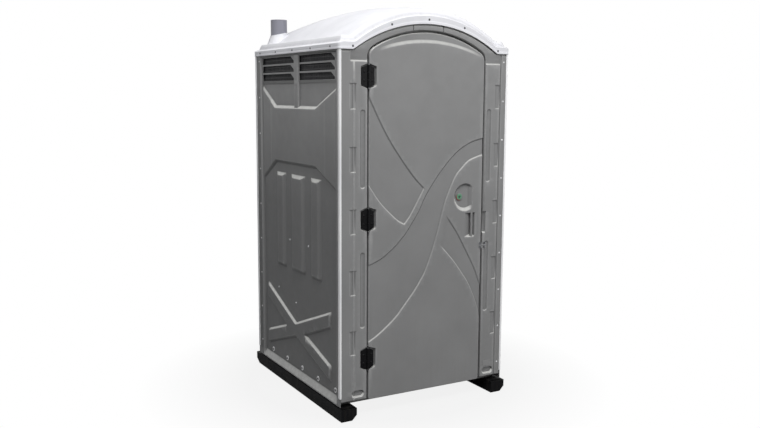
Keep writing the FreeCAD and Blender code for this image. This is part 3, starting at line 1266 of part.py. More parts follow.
def padlock_tab(side):
    """An angle with a hole: side -1 sits on the door, +1 on the frame."""
    seam = DOOR_RIGHT if side < 0 else OPENING_RIGHT
    web_near = seam + side * TAB_SETBACK
    web = sorted((web_near, web_near + side * TAB_THICKNESS))
    foot = sorted((web_near, web_near + side * TAB_FOOT))
    low = TAB_Z - TAB_HALF_HEIGHT
    high = TAB_Z + TAB_HALF_HEIGHT
    plate = box(foot[0], foot[1], FACE_Y - TAB_THICKNESS, FACE_Y, low, high)
    fin = box(web[0], web[1], FACE_Y - TAB_PROJECTION, FACE_Y, low, high)
    tab = plate.fuse(fin).removeSplitter()
    hole_y = FACE_Y - TAB_PROJECTION / 2 - TAB_THICKNESS / 2
    hole = rod(Vector(web[0] - 1, hole_y, TAB_Z), Vector(1, 0, 0), TAB_HOLE_RADIUS, TAB_THICKNESS + 2)
    return tab.cut(hole)


def coat_hook():
    y = DOOR_BACK_Y
    plate = box(-HOOK_PLATE_WIDTH / 2, HOOK_PLATE_WIDTH / 2, y, y + HOOK_PLATE_THICKNESS,
                HOOK_Z - HOOK_PLATE_HEIGHT / 2, HOOK_Z + HOOK_PLATE_HEIGHT / 2)
    start = y + HOOK_PLATE_THICKNESS - 1
    arm = rod(Vector(0, start, HOOK_Z), Vector(0, 1, 0), HOOK_WIRE_RADIUS, HOOK_REACH)
    finger = rod(Vector(0, start + HOOK_REACH, HOOK_Z), Vector(0, 0, 1), HOOK_WIRE_RADIUS, HOOK_RISE)
    elbow = Part.makeSphere(HOOK_WIRE_RADIUS, Vector(0, start + HOOK_REACH, HOOK_Z))
    tip = Part.makeSphere(HOOK_WIRE_RADIUS * 1.5, Vector(0, start + HOOK_REACH, HOOK_Z + HOOK_RISE))
    return fuse_all([plate, arm, finger, elbow, tip])


# Tank, seat and lid

SEAT_AXIS_Y = SEAT_CENTRE_Y + SEAT_HALF_LENGTH + SEAT_AXIS_BEHIND
SEAT_AXIS_Z = TANK_TOP_Z + SEAT_AXIS_HEIGHT


def ellipse_block(half_x, half_y, centre_y, z0, z1):
    """An upright elliptical block."""
    centre = Vector(0, centre_y, z0)
    along = Vector(0, centre_y + half_y, z0)
    if half_x > half_y:
        curve = Part.Ellipse(Vector(half_x, centre_y, z0), along, centre)
    else:
        curve = Part.Ellipse(along, Vector(-half_x, centre_y, z0), centre)
    return Part.Face(Part.Wire(curve.toShape())).extrude(Vector(0, 0, z1 - z0))


def tank_profile(margin):
    front = TANK_FRONT_Y + margin
    return [
        (front + TANK_TOE, DECK_TOP_Z + margin), (TANK_BACK_Y - margin, DECK_TOP_Z + margin),
        (TANK_BACK_Y - margin, TANK_TOP_Z - margin), (front + TANK_NOSE, TANK_TOP_Z - margin),
        (front, TANK_TOP_Z - TANK_NOSE),
    ]


def seat_knuckle(slot, radius):
    """Paired round knuckles about the seat's axis: slot 0 is the seat's, 1 the tank's, 2 the lid's."""
    start = SEAT_KNUCKLE_START + slot * SEAT_KNUCKLE_PITCH
    pair = []
    for x in (start, -start - SEAT_KNUCKLE_WIDTH):
        pair.append(rod(Vector(x, SEAT_AXIS_Y, SEAT_AXIS_Z), Vector(1, 0, 0), radius, SEAT_KNUCKLE_WIDTH))
    return pair


def knuckle_arms(slot, y0, y1, z0, z1):
    start = SEAT_KNUCKLE_START + slot * SEAT_KNUCKLE_PITCH
    return [box(x, x + SEAT_KNUCKLE_WIDTH, y0, y1, z0, z1) for x in (start, -start - SEAT_KNUCKLE_WIDTH)]


def seat_bore():
    length = 2 * (SEAT_KNUCKLE_START + 4 * SEAT_KNUCKLE_PITCH)
    return rod(Vector(-length / 2, SEAT_AXIS_Y, SEAT_AXIS_Z), Vector(1, 0, 0),
               SEAT_PIN_RADIUS + RUNNING_CLEARANCE, length)


def tank_wall():
    """The tank's wall, closed all round. Its cover and its tub meet at the nose's lower edge."""
    inner = TANK_HALF_WIDTH - TANK_WALL
    body = prism(tank_profile(0), "x", -TANK_HALF_WIDTH, TANK_HALF_WIDTH)
    return body.cut(prism(tank_profile(TANK_WALL), "x", -inner, inner))


def tank_half(z0, z1):
    """What lies of the tank's wall between two levels."""
    slice_box = box(-HALF_WIDTH, HALF_WIDTH, TANK_FRONT_Y - SPARE, TANK_BACK_Y + SPARE, z0, z1)
    return tank_wall().common(slice_box)


def waste_tank():
    """The open tub, with the drain's hole in its leaning front."""
    tub = tank_half(DECK_TOP_Z - SPARE, TANK_SEAM_Z)
    return tub.cut(rod(Vector(drain_centre_x(), TANK_FRONT_Y - 1, DRAIN_Z), Vector(0, 1, 0),
                       DRAIN_RADIUS + SLIDE_CLEARANCE, TANK_TOE + TANK_WALL + 2))


def tank_cover():
    """The cover on the tub, with the mouth, the vent pipe's hole and the seat's middle knuckles."""
    shapes = [tank_half(TANK_SEAM_Z, TANK_TOP_Z + SPARE)]
    shapes += knuckle_arms(1, SEAT_AXIS_Y - SEAT_KNUCKLE_RADIUS, SEAT_AXIS_Y + SEAT_KNUCKLE_RADIUS,
                           TANK_TOP_Z - 1, SEAT_AXIS_Z)
    shapes += seat_knuckle(1, SEAT_KNUCKLE_RADIUS)
    cover = fuse_all(shapes)
    cover = cover.cut(ellipse_block(BOWL_HALF_WIDTH, BOWL_HALF_LENGTH, SEAT_CENTRE_Y,
                                    TANK_TOP_Z - 2 * TANK_WALL, TANK_TOP_Z + 1))
    cover = cover.cut(pipe_rod(PIPE_RADIUS + PIPE_CLEARANCE, TANK_TOP_Z - 2 * TANK_WALL, TANK_TOP_Z + 1))
    return cover.cut(seat_bore())


def seat():
    z0 = TANK_TOP_Z + SEAT_LIFT
    z1 = z0 + SEAT_THICKNESS
    ring = ellipse_block(SEAT_HALF_WIDTH, SEAT_HALF_LENGTH, SEAT_CENTRE_Y, z0, z1)
    ring = ring.cut(ellipse_block(SEAT_HOLE_HALF_WIDTH, SEAT_HOLE_HALF_LENGTH, SEAT_CENTRE_Y, z0 - 1,
                                  z1 + 1))
    rims = [edge for edge in ring.Edges if edge.CenterOfMass.z > z1 - 0.1]
    ring = ring.makeFillet(5.0, rims)
    shapes = [ring]
    shapes += seat_knuckle(0, SEAT_KNUCKLE_RADIUS)
    arm_start = SEAT_CENTRE_Y + SEAT_HALF_LENGTH * 0.88
    shapes += knuckle_arms(0, arm_start, SEAT_AXIS_Y, SEAT_AXIS_Z - SEAT_KNUCKLE_RADIUS / 2, z1 - 1)
    middle_x = (SEAT_HALF_WIDTH + SEAT_HOLE_HALF_WIDTH) / 2
    middle_y = (SEAT_HALF_LENGTH + SEAT_HOLE_HALF_LENGTH) / 2
    for x, y in ((middle_x, 0), (-middle_x, 0), (middle_x * 0.4, -middle_y * 0.915),
                 (-middle_x * 0.4, -middle_y * 0.915)):
        shapes.append(rod(Vector(x, SEAT_CENTRE_Y + y, TANK_TOP_Z + SEAT_FOOT_CLEARANCE), Vector(0, 0, 1),
                          SEAT_FOOT_RADIUS, SEAT_LIFT + 2))
    return fuse_all(shapes).cut(seat_bore())


def seat_lid():
    """The lid, shown lifted: it is built closed and then turned back about the seat's axis."""
    z0 = TANK_TOP_Z + SEAT_LIFT + SEAT_THICKNESS + LID_GAP
    z1 = z0 + LID_THICKNESS
    plate = ellipse_block(SEAT_HALF_WIDTH, SEAT_HALF_LENGTH, SEAT_CENTRE_Y, z0, z1)
    plate = plate.makeFillet(4.0, [edge for edge in plate.Edges if edge.CenterOfMass.z > z1 - 0.1])
    shapes = [plate]
    shapes += knuckle_arms(2, SEAT_CENTRE_Y + SEAT_HALF_LENGTH * 0.7, SEAT_AXIS_Y + 4.0, z0, z1)
    shapes += knuckle_arms(2, SEAT_AXIS_Y - SEAT_KNUCKLE_RADIUS, SEAT_AXIS_Y + 4.0, SEAT_AXIS_Z, z0 + 1)
    shapes += seat_knuckle(2, SEAT_KNUCKLE_RADIUS)
    lid = fuse_all(shapes).cut(seat_bore())
    lid.rotate(Vector(0, SEAT_AXIS_Y, SEAT_AXIS_Z), Vector(-1, 0, 0), LID_OPEN_ANGLE)
    return lid


def seat_hinge_pin():
    half = SEAT_KNUCKLE_START + 2 * SEAT_KNUCKLE_PITCH + SEAT_KNUCKLE_WIDTH + SEAT_PIN_SPARE
    return rod(Vector(-half, SEAT_AXIS_Y, SEAT_AXIS_Z), Vector(1, 0, 0), SEAT_PIN_RADIUS, 2 * half)


# Urinal and drain

def drain_centre_x():
    return FIELD_INNER_X - URINAL_FOOT_REACH / 2


def urinal_shell(margin, top_z, foot_z):
    """The bowl's body: wide at the top, narrow at the foot, against the right wall."""
    wall_x = FIELD_INNER_X - margin

    def ring(half, reach, z):
        low_y = URINAL_Y - half + margin
        high_y = URINAL_Y + half - margin
        near_x = FIELD_INNER_X - reach + margin
        bevel = half * 0.45
        return polygon([(wall_x, low_y), (wall_x, high_y), (near_x + bevel, high_y),
                        (near_x, high_y - bevel), (near_x, low_y + bevel), (near_x + bevel, low_y)], "z", z)

    return Part.makeLoft([ring(URINAL_TOP_HALF, URINAL_TOP_REACH, top_z),
                          ring(URINAL_FOOT_HALF, URINAL_FOOT_REACH, foot_z)], True, True)


def urinal():
    foot_z = URINAL_TOP_Z - URINAL_HEIGHT
    body = urinal_shell(0, URINAL_TOP_Z, foot_z)
    wall_x = FIELD_INNER_X
    half = URINAL_TOP_HALF + URINAL_BACK_MARGIN
    back = box(wall_x - URINAL_WALL, wall_x, URINAL_Y - half, URINAL_Y + half, URINAL_TOP_Z - 60,
               URINAL_TOP_Z + URINAL_BACK_RISE)
    body = body.fuse(back).removeSplitter()
    body = body.cut(urinal_shell(URINAL_WALL, URINAL_TOP_Z + 0.5, foot_z + URINAL_WALL))
    return body.cut(rod(Vector(drain_centre_x(), URINAL_Y, foot_z - 1), Vector(0, 0, 1),
                        DRAIN_RADIUS - DRAIN_WALL, URINAL_WALL + 3))


def urinal_drain():
    """A pipe from the bowl's foot down, round one bend and back into the tank's front."""
    x = drain_centre_x()
    top = Vector(x, URINAL_Y, URINAL_TOP_Z - URINAL_HEIGHT)
    bend_start = Vector(x, URINAL_Y, DRAIN_Z + DRAIN_BEND)
    bend_end = Vector(x, URINAL_Y + DRAIN_BEND, DRAIN_Z)
    turn = DRAIN_BEND * (1 - math.sqrt(0.5))
    middle = Vector(x, URINAL_Y + turn, DRAIN_Z + turn)
    front_share = (TANK_TOP_Z - TANK_NOSE - DRAIN_Z) / (TANK_HEIGHT - TANK_NOSE)
    end = Vector(x, TANK_FRONT_Y + TANK_TOE * front_share + 2 * TANK_WALL, DRAIN_Z)
    path = Part.Wire([Part.LineSegment(top, bend_start).toShape(),
                      Part.Arc(bend_start, middle, bend_end).toShape(),
                      Part.LineSegment(bend_end, end).toShape()])
    tubes = []
    for radius in (DRAIN_RADIUS, DRAIN_RADIUS - DRAIN_WALL):
        ring = Part.Wire(Part.makeCircle(radius, top, Vector(0, 0, 1)))
        tubes.append(path.makePipeShell([ring], True, False))
    return tubes[0].cut(tubes[1])


# Paper holder

PAPER_AXIS_X = -FIELD_INNER_X + PAPER_OFFSET
PAPER_HALF_SPAN = ROLL_WIDTH + ROLL_GAP


def paper_bracket():
    wall_x = -FIELD_INNER_X
    plate_x = wall_x + PAPER_PLATE_THICKNESS
    half = PAPER_HALF_SPAN + PAPER_ARM_THICKNESS
    shapes = [box(wall_x, plate_x, PAPER_Y - half, PAPER_Y + half, PAPER_Z - PAPER_HALF_HEIGHT,
                  PAPER_Z + PAPER_HALF_HEIGHT)]
    for y in (PAPER_Y - half, PAPER_Y + PAPER_HALF_SPAN):
        arm = prism([(plate_x - 1, PAPER_Z - PAPER_HALF_HEIGHT), (wall_x + PAPER_ARM_REACH, PAPER_Z - 20),
                     (wall_x + PAPER_ARM_REACH, PAPER_Z + 20), (plate_x - 1, PAPER_Z + PAPER_HALF_HEIGHT)],
                    "y", y, y + PAPER_ARM_THICKNESS)
        shapes.append(arm)
    bracket = fuse_all(shapes)
    return bracket.cut(rod(Vector(PAPER_AXIS_X, PAPER_Y - half - 1, PAPER_Z), Vector(0, 1, 0),
                           PAPER_JOURNAL_RADIUS + RUNNING_CLEARANCE, 2 * half + 2))


def paper_spindle():
    """A roller between the arms, with a thinner journal through each arm."""
    half = PAPER_HALF_SPAN + PAPER_ARM_THICKNESS
    span = PAPER_HALF_SPAN - SLIDE_CLEARANCE
    stretches = ((half, PAPER_JOURNAL_RADIUS), (span, PAPER_SPINDLE_RADIUS))
    return fuse_all([rod(Vector(PAPER_AXIS_X, PAPER_Y - reach, PAPER_Z), Vector(0, 1, 0), radius, 2 * reach)
                     for reach, radius in stretches])


def paper_roll(step):
    y = PAPER_Y + (ROLL_GAP / 2 if step > 0 else -ROLL_GAP / 2 - ROLL_WIDTH)
    return tube(Vector(PAPER_AXIS_X, y, PAPER_Z), Vector(0, 1, 0), ROLL_RADIUS,
                PAPER_SPINDLE_RADIUS + ROLL_CORE_CLEARANCE, ROLL_WIDTH)


# Fasteners and the plate

def rivet_rows(pitch):
    return [RIVET_FIRST_Z + i * pitch for i in range(RIVET_COUNT)]


def frame_rivets():
    x = INNER_X - FRAME_RIVET_INSET
    return [button(Vector(x, FACE_Y, z), Vector(0, -1, 0), RIVET_RADIUS, RIVET_HEIGHT)
            for z in rivet_rows(RIVET_PITCH)]


def wall_rivets():
    y = SKIN_Y - WALL_RIVET_INSET
    rivets = []
    for side in (-1, 1):
        for z in rivet_rows(WALL_RIVET_PITCH):
            centre = Vector(side * SKIN_X, y, z)
            rivets.append(button(centre, Vector(side, 0, 0), RIVET_RADIUS, RIVET_HEIGHT))
    return rivets


def band_middle_z(x):
    """The height of the middle of the roof's front band."""
    if abs(x) >= ARCH_HALF:
        return EAVE_Z + ROOF_BAND_SIDE / 2
    radius = (ARCH_HALF ** 2 + ARCH_RISE ** 2) / (2 * ARCH_RISE)
    drop = radius - math.sqrt(radius ** 2 - x ** 2)
    return EAVE_Z + ARCH_RISE - drop + ROOF_BAND_SIDE / 2 + (ROOF_BAND_APEX - ROOF_BAND_SIDE) / 2


def roof_screws():
    screws = []
    middle = (ROOF_SCREW_SIDE_COUNT - 1) / 2
    for side in (-1, 1):
        for i in range(ROOF_SCREW_SIDE_COUNT):
            centre = Vector(side * ROOF_HALF_WIDTH, (i - middle) * ROOF_SCREW_SIDE_PITCH,
                            EAVE_Z + ROOF_BAND_SIDE / 2)
            screws.append(button(centre, Vector(side, 0, 0), ROOF_SCREW_RADIUS, ROOF_SCREW_HEIGHT))
    middle = (ROOF_SCREW_FRONT_COUNT - 1) / 2
    for end in (-1, 1):
        for i in range(ROOF_SCREW_FRONT_COUNT):
            x = (i - middle) * ROOF_SCREW_FRONT_PITCH
            centre = Vector(x, end * ROOF_HALF_DEPTH, band_middle_z(x))
            screws.append(button(centre, Vector(0, end, 0), ROOF_SCREW_RADIUS, ROOF_SCREW_HEIGHT))
    return screws


def wall_bolts():
    bolts = []
    for side in (-1, 1):
        for y in wall_bolt_rows():
            head_x = side * (FIELD_X + WASHER_THICKNESS)
            head = button(Vector(head_x, y, WALL_BOLT_Z), Vector(side, 0, 0), WALL_BOLT_HEAD_RADIUS,
                          WALL_BOLT_HEAD_HEIGHT)
            length = WASHER_THICKNESS + SHEET + DECK_RIM_THICKNESS
            shank = rod(Vector(head_x, y, WALL_BOLT_Z), Vector(-side, 0, 0), WALL_BOLT_RADIUS, length)
            bolts.append(head.fuse(shank).removeSplitter())
    return bolts


def wall_washers():
    washers = []
    for side in (-1, 1):
        for y in wall_bolt_rows():
            washers.append(tube(Vector(side * FIELD_X, y, WALL_BOLT_Z), Vector(side, 0, 0), WASHER_RADIUS,
                                WALL_BOLT_RADIUS + BOLT_HOLE_CLEARANCE, WASHER_THICKNESS))
    return washers


def wall_fasteners():
    heads = []
    for side in (-1, 1):
        for y, z in SMALL_HEAD_PLACES:
            heads.append(button(Vector(side * FIELD_X, y, z), Vector(side, 0, 0), SMALL_HEAD_RADIUS,
                                SMALL_HEAD_HEIGHT))
    return heads


def blank_plate():
    x = INNER_X - PLATE_FROM_EDGE
    return box(x - PLATE_WIDTH / 2, x + PLATE_WIDTH / 2, FACE_Y - PLATE_THICKNESS, FACE_Y,
               PLATE_CENTRE_Z - PLATE_HEIGHT / 2, PLATE_CENTRE_Z + PLATE_HEIGHT / 2)


def main():
    os.makedirs("parts", exist_ok=True)
    save("skid_left", [skid(-1)])
    save("skid_right", [skid(1)])
    save("skid_bolts", skid_bolts())
    save("base_deck", [base_deck()])
    wall = side_wall()
    save("wall_left", [wall])
    save("wall_right", [mirrored(wall)])
    save("wall_back", [back_wall()])
    for side, side_name in ((-1, "left"), (1, "right")):
        for end, end_name in ((-1, "front"), (1, "back")):
            save("corner_post_" + end_name + "_" + side_name, [corner_post(side, end)])
    left, joint, right = front_frame()
    save("front_frame_left", [left])
    save("front_frame_right", [right])
    save("header_joint", [joint])
    save("roof", [roof()])
    save("vent_pipe", [vent_pipe()])
    save("vent_collar", [vent_collar()])
    screens = side_screens()
    save("vent_screen_left", screens)
    save("vent_screen_right", [mirrored(screen) for screen in screens])
    save("vent_screen_back", back_screens())
    save("waste_tank", [waste_tank()])
    save("tank_cover", [tank_cover()])
    save("seat", [seat()])
    save("seat_lid", [seat_lid()])
    save("seat_hinge_pin", [seat_hinge_pin()])
    save("urinal", [urinal()])
    save("urinal_drain", [urinal_drain()])
    save("paper_bracket", [paper_bracket()])
    save("paper_spindle", [paper_spindle()])
    save("paper_roll_front", [paper_roll(-1)])
    save("paper_roll_rear", [paper_roll(1)])
    save("door_outer_skin", [door_outer_skin()])
    save("door_inner_skin", [door_inner_skin()])
    save("pull_handle", [pull_handle()])
    save("coat_hook", [coat_hook()])
    for number, z in enumerate(HINGE_CENTRES_Z, 1):
        frame_leaf, door_leaf, pin = hinge(z)
        save("hinge_frame_leaf_" + str(number), [frame_leaf])
        save("hinge_door_leaf_" + str(number), [door_leaf])
        save("hinge_pin_" + str(number), [pin])
    save("hinge_screws_frame", hinge_screws(-1))
    save("hinge_screws_door", hinge_screws(1))
    save("latch_housing", [latch_housing()])
    save("latch_knob", [latch_knob()])
    save("indicator_disc", [indicator_disc()])
    save("latch_bolt", [latch_bolt()])
    save("latch_keeper", [latch_keeper()])
    save("padlock_tab_door", [padlock_tab(-1)])
    save("padlock_tab_frame", [padlock_tab(1)])
    save("frame_rivets", frame_rivets())
    save("wall_rivets", wall_rivets())
    save("roof_screws", roof_screws())
    save("wall_bolts", wall_bolts())
    save("wall_washers", wall_washers())
    save("wall_fasteners", wall_fasteners())
    save("blank_plate", [blank_plate()])


main()
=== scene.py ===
import math

import bpy
import numpy as np
from mathutils import Matrix, Vector
from mathutils.geometry import delaunay_2d_cdt


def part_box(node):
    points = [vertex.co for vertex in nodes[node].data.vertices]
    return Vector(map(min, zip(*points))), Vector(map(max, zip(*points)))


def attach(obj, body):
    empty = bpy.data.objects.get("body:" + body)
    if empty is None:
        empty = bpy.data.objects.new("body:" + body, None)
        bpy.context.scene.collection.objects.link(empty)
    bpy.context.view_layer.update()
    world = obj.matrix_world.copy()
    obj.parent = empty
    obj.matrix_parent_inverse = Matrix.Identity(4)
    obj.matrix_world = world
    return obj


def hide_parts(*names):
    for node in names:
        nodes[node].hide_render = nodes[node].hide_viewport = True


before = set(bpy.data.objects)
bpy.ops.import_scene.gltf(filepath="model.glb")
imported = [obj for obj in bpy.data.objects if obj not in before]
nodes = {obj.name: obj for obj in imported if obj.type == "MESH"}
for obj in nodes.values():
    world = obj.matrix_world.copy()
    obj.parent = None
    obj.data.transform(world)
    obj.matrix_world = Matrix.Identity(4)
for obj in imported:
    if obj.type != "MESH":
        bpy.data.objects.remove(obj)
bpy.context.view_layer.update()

# Shapes are worked out in millimetres, like the part's drawing, and written to the meshes in metres.
MM = 0.001


def span(node):
    """A node's lowest and highest corners, in millimetres."""
    return [[value / MM for value in corner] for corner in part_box(node)]


def halfway(node, axis):
    """Where a node's middle is along one axis, in millimetres."""
    low, high = span(node)
    return (low[axis] + high[axis]) / 2


# Planes of the cabin, read from the CAD
(low_x, _, WALL_FOOT), (_, _, WALL_TOP) = span("wall_left")
SKIN_X = -low_x
(low_x, low_y, FRAME_FOOT), (_, high_y, _) = span("front_frame_left")
FRAME_SIDE, SKIN_Y = -low_x, -low_y
FRAME_DEPTH = high_y + SKIN_Y
(JOINT_LEFT, _, _), (JOINT_RIGHT, _, FRAME_TOP) = span("header_joint")
(DOOR_LEFT, _, DOOR_FOOT), (DOOR_RIGHT, high_y, DOOR_TOP) = span("door_outer_skin")
DOOR_SKIN_DEPTH = high_y + SKIN_Y
(_, _, EAVE), (ROOF_X, ROOF_Y, _) = span("roof")
PIPE_X, PIPE_Y = halfway("vent_pipe", 0), halfway("vent_pipe", 1)
LATCH_X, LATCH_Z = halfway("indicator_disc", 0), halfway("indicator_disc", 2)
HINGES_Z = [halfway("hinge_pin_%d" % i, 2) for i in (1, 2, 3)]

# The formed sheets' thickness, how far a wall's flanges stand out, the door's gap and the frame's arch
SHEET = 5.0
RELIEF = 18.0
GAP = 11.0
ARCH_HALF = 475.0
ARCH_RISE = 151.0


# Working with flat outlines

CHUNK = 4000
TINY = 1e-9


def distance(outline, u, v):
    """How far each point is inside a closed outline (negative outside), and how far up its near edge is."""
    start = np.asarray(outline, float)
    end = np.roll(start, -1, 0)
    along = end - start
    length = np.maximum((along ** 2).sum(1), TINY)
    far = np.empty(u.shape)
    rise = np.empty(u.shape)
    for first in range(0, len(u), CHUNK):
        part = slice(first, first + CHUNK)
        du = u[part, None] - start[:, 0]
        dv = v[part, None] - start[:, 1]
        share = np.clip((du * along[:, 0] + dv * along[:, 1]) / length, 0, 1)
        du -= share * along[:, 0]
        dv -= share * along[:, 1]
        square = du ** 2 + dv ** 2
        near = square.argmin(1)
        rows = np.arange(len(near))
        gap = np.sqrt(square[rows, near])
        above = (start[:, 1] > v[part, None]) != (end[:, 1] > v[part, None])
        level = np.where(along[:, 1] == 0, 1.0, along[:, 1])
        cross = start[:, 0] + (v[part, None] - start[:, 1]) * along[:, 0] / level
        inside = (above & (u[part, None] < cross)).sum(1) % 2 == 1
        far[part] = np.where(inside, gap, -gap)
        rise[part] = -dv[rows, near] / np.maximum(gap, TINY)
    return far, rise


def depth_in(outline, u, v):
    return distance(outline, u, v)[0]


def ramp(d, width, soft):
    """Rises from 0 to 1 as d goes from 0 to the width, rounded over at both ends."""
    def area(x):
        return np.where(x < 0, 0.0, np.where(x < width, x * x / (2 * width), x - width / 2))
    return (area(d + soft) - area(d - soft)) / (2 * soft)


def ramp_steps(width, soft, way=1):
    """Where a ramp needs lines in the mesh: across its two rounded ends."""
    ends = (-soft, -soft / 3, soft / 3, soft)
    return [way * step for step in (*ends, *(width + end for end in ends))]


def round_steps(radius):
    """Where a rounded edge needs lines in the mesh."""
    return [radius * (1 - math.cos(math.radians(turn))) for turn in (12, 28, 46, 66, 90)]


def offset(outline, inward):
    """The outline moved inwards, or outwards where the distance is negative."""
    points = np.asarray(outline, float)
    following = np.roll(points, -1, 0)
    area = (points[:, 0] * following[:, 1] - following[:, 0] * points[:, 1]).sum()
    edge = following - points
    edge /= np.maximum(np.linalg.norm(edge, axis=1), TINY)[:, None]
    normal = np.sign(area) * np.stack([-edge[:, 1], edge[:, 0]], 1)
    both = normal + np.roll(normal, 1, 0)
    sharpest = 0.35
    return points + inward * both / np.maximum((both * normal).sum(1), sharpest)[:, None]


def divided(loop, pitch):
    """A closed loop with points added so that no side reaches twice the pitch."""
    points = []
    for a, b in zip(loop, list(loop[1:]) + [loop[0]]):
        count = max(1, int(math.dist(a, b) / pitch))
        for i in range(count):
            points.append((a[0] + (b[0] - a[0]) * i / count, a[1] + (b[1] - a[1]) * i / count))
    return points


def rings(outline, steps, pitch=None):
    """Lines along an outline, each moved in by a step, and divided where a pitch is given."""
    loops = [offset(outline, step) for step in steps]
    return [divided(loop, pitch) for loop in loops] if pitch else loops


def levels(at, steps, start, end):
    return [[(start, at + step), (end, at + step)] for step in steps]


def uprights(at, steps, foot, head):
    return [[(at + step, foot), (at + step, head)] for step in steps]


def doubled(u, v):
    """An open line as a closed loop, which runs back a hair above itself."""
    return list(zip(u, v)) + list(zip(u[::-1], v[::-1] + 0.1))


def rectangle(u0, u1, v0, v1):
    return [(u0, v0), (u1, v0), (u1, v1), (u0, v1)]


def arc_points(cu, cv, radius, start, end, count):
    """Points along an arc between two angles in degrees, with both ends."""
    points = []
    for i in range(count + 1):
        angle = math.radians(start + (end - start) * i / count)
        points.append((cu + radius * math.cos(angle), cv + radius * math.sin(angle)))
    return points


def rounded(u0, u1, v0, v1, radius):
    corners = [(u1 - radius, v0 + radius, -90), (u1 - radius, v1 - radius, 0),
               (u0 + radius, v1 - radius, 90), (u0 + radius, v0 + radius, 180)]
    return [point for cu, cv, turn in corners for point in arc_points(cu, cv, radius, turn, turn + 90, 6)]


def circle(cu, cv, radius, count=48):
    return arc_points(cu, cv, radius, 0, 360, count)[:-1]


def smooth(points, step=12.0):
    """A smooth line through the points."""
    points = [np.array(point, float) for point in points]
    ends = [2 * points[0] - points[1]] + points + [2 * points[-1] - points[-2]]
    line = []
    for a, b, c, d in zip(ends, ends[1:], ends[2:], ends[3:]):
        count = max(2, int(np.linalg.norm(c - b) / step))
        for i in range(count):
            t = i / count
            line.append(0.5 * (2 * b + (c - a) * t + (2 * a - 5 * b + 4 * c - d) * t ** 2
                               + (3 * b - a - 3 * c + d) * t ** 3))
    return line + [points[-1]]


def grid(u0, u1, v0, v1, pitch):
    across, up = (np.linspace(a, b, max(2, int((b - a) / pitch) + 1)) for a, b in ((u0, u1), (v0, v1)))
    return [(u, v) for u in across for v in up]


# Heights over a plane

def arch(x, half, side, apex):
    """Height of a vault: an arc through its apex and its two sides."""
    rise = apex - side
    radius = (half ** 2 + rise ** 2) / (2 * rise)
    return apex - radius + np.sqrt(np.maximum(radius ** 2 - np.minimum(np.abs(x), radius) ** 2, 0))


def blend_max(a, b, soft):
    return 0.5 * (a + b + np.sqrt((a - b) ** 2 + soft ** 2))


def edge_round(d, radius):
    """How far a surface drops where it rounds over towards its edge."""
    inner = np.clip(radius - d, 0, radius)
    return radius - np.sqrt(np.maximum(radius ** 2 - inner ** 2, 0))


DIP_SOFT = 0.2
DIP_STEPS = (-0.2, 0.05, 0.3, 0.6, 0.85, 1.02, 1.2)


def dip(box, slopes_in, u, v):
    """1 inside a rectangular recess, 0 outside it, with a slope of its own width on each side."""
    inside = (u - box[0], box[1] - u, v - box[2], box[3] - v)
    return np.minimum.reduce([ramp(d, width, DIP_SOFT * width) for d, width in zip(inside, slopes_in)])


def dip_lines(box, slopes_in):
    left, right, foot, head = slopes_in
    return [divided(rectangle(box[0] + s * left, box[1] - s * right, box[2] + s * foot, box[3] - s * head),
                    9) for s in DIP_STEPS]


def level_at(height):
    """A flat surface."""
    return lambda u, v: np.full(u.shape, height)


def frame_arch(start, end):
    """The upper edge of the frame and of the gable between two places."""
    places = np.linspace(start, end, 40)
    return list(zip(places, arch(places, ARCH_HALF, WALL_TOP, FRAME_TOP)))


def roof_line(u, step=0):
    """The roof's lower edge, or a line that many millimetres below it."""
    side = EAVE - step
    return np.where(np.abs(u) < ARCH_HALF, arch(u, ARCH_HALF, side, side + ARCH_RISE), side)


# Panels: one triangulated outline with a front and a back surface

# Each plane's origin, then its directions across, up and outwards
PLANES = {
    "left": ((-SKIN_X, 0, 0), (0, 1, 0), (0, 0, 1), (-1, 0, 0)),
    "right": ((SKIN_X, 0, 0), (0, 1, 0), (0, 0, 1), (1, 0, 0)),
    "back": ((0, SKIN_Y, 0), (1, 0, 0), (0, 0, 1), (0, 1, 0)),
    "front": ((0, -SKIN_Y, 0), (1, 0, 0), (0, 0, 1), (0, -1, 0)),
    "level": ((0, 0, 0), (1, 0, 0), (0, 1, 0), (0, 0, 1)),
}
SAME_PLACE = 0.02
NORMAL_STEP = 0.4
BEND_STEP = 2.5
BEND_GAIN = 6.0
SMOOTH_CORNER = 0.86


def normals(surface, u, v, sign):
    step = NORMAL_STEP
    across = (surface(u + step, v) - surface(u - step, v)) / (2 * step)
    up = (surface(u, v + step) - surface(u, v - step)) / (2 * step)
    n = np.stack([-across, -up, np.ones(len(u))], 1) * sign
    return n / np.linalg.norm(n, axis=1)[:, None]


def bend(surface, u, v):
    """How much a surface curves: positive in a hollow, negative on a ridge."""
    step = BEND_STEP
    total = surface(u + step, v) + surface(u - step, v) + surface(u, v + step) + surface(u, v - step)
    return (total - 4 * surface(u, v)) / step ** 2


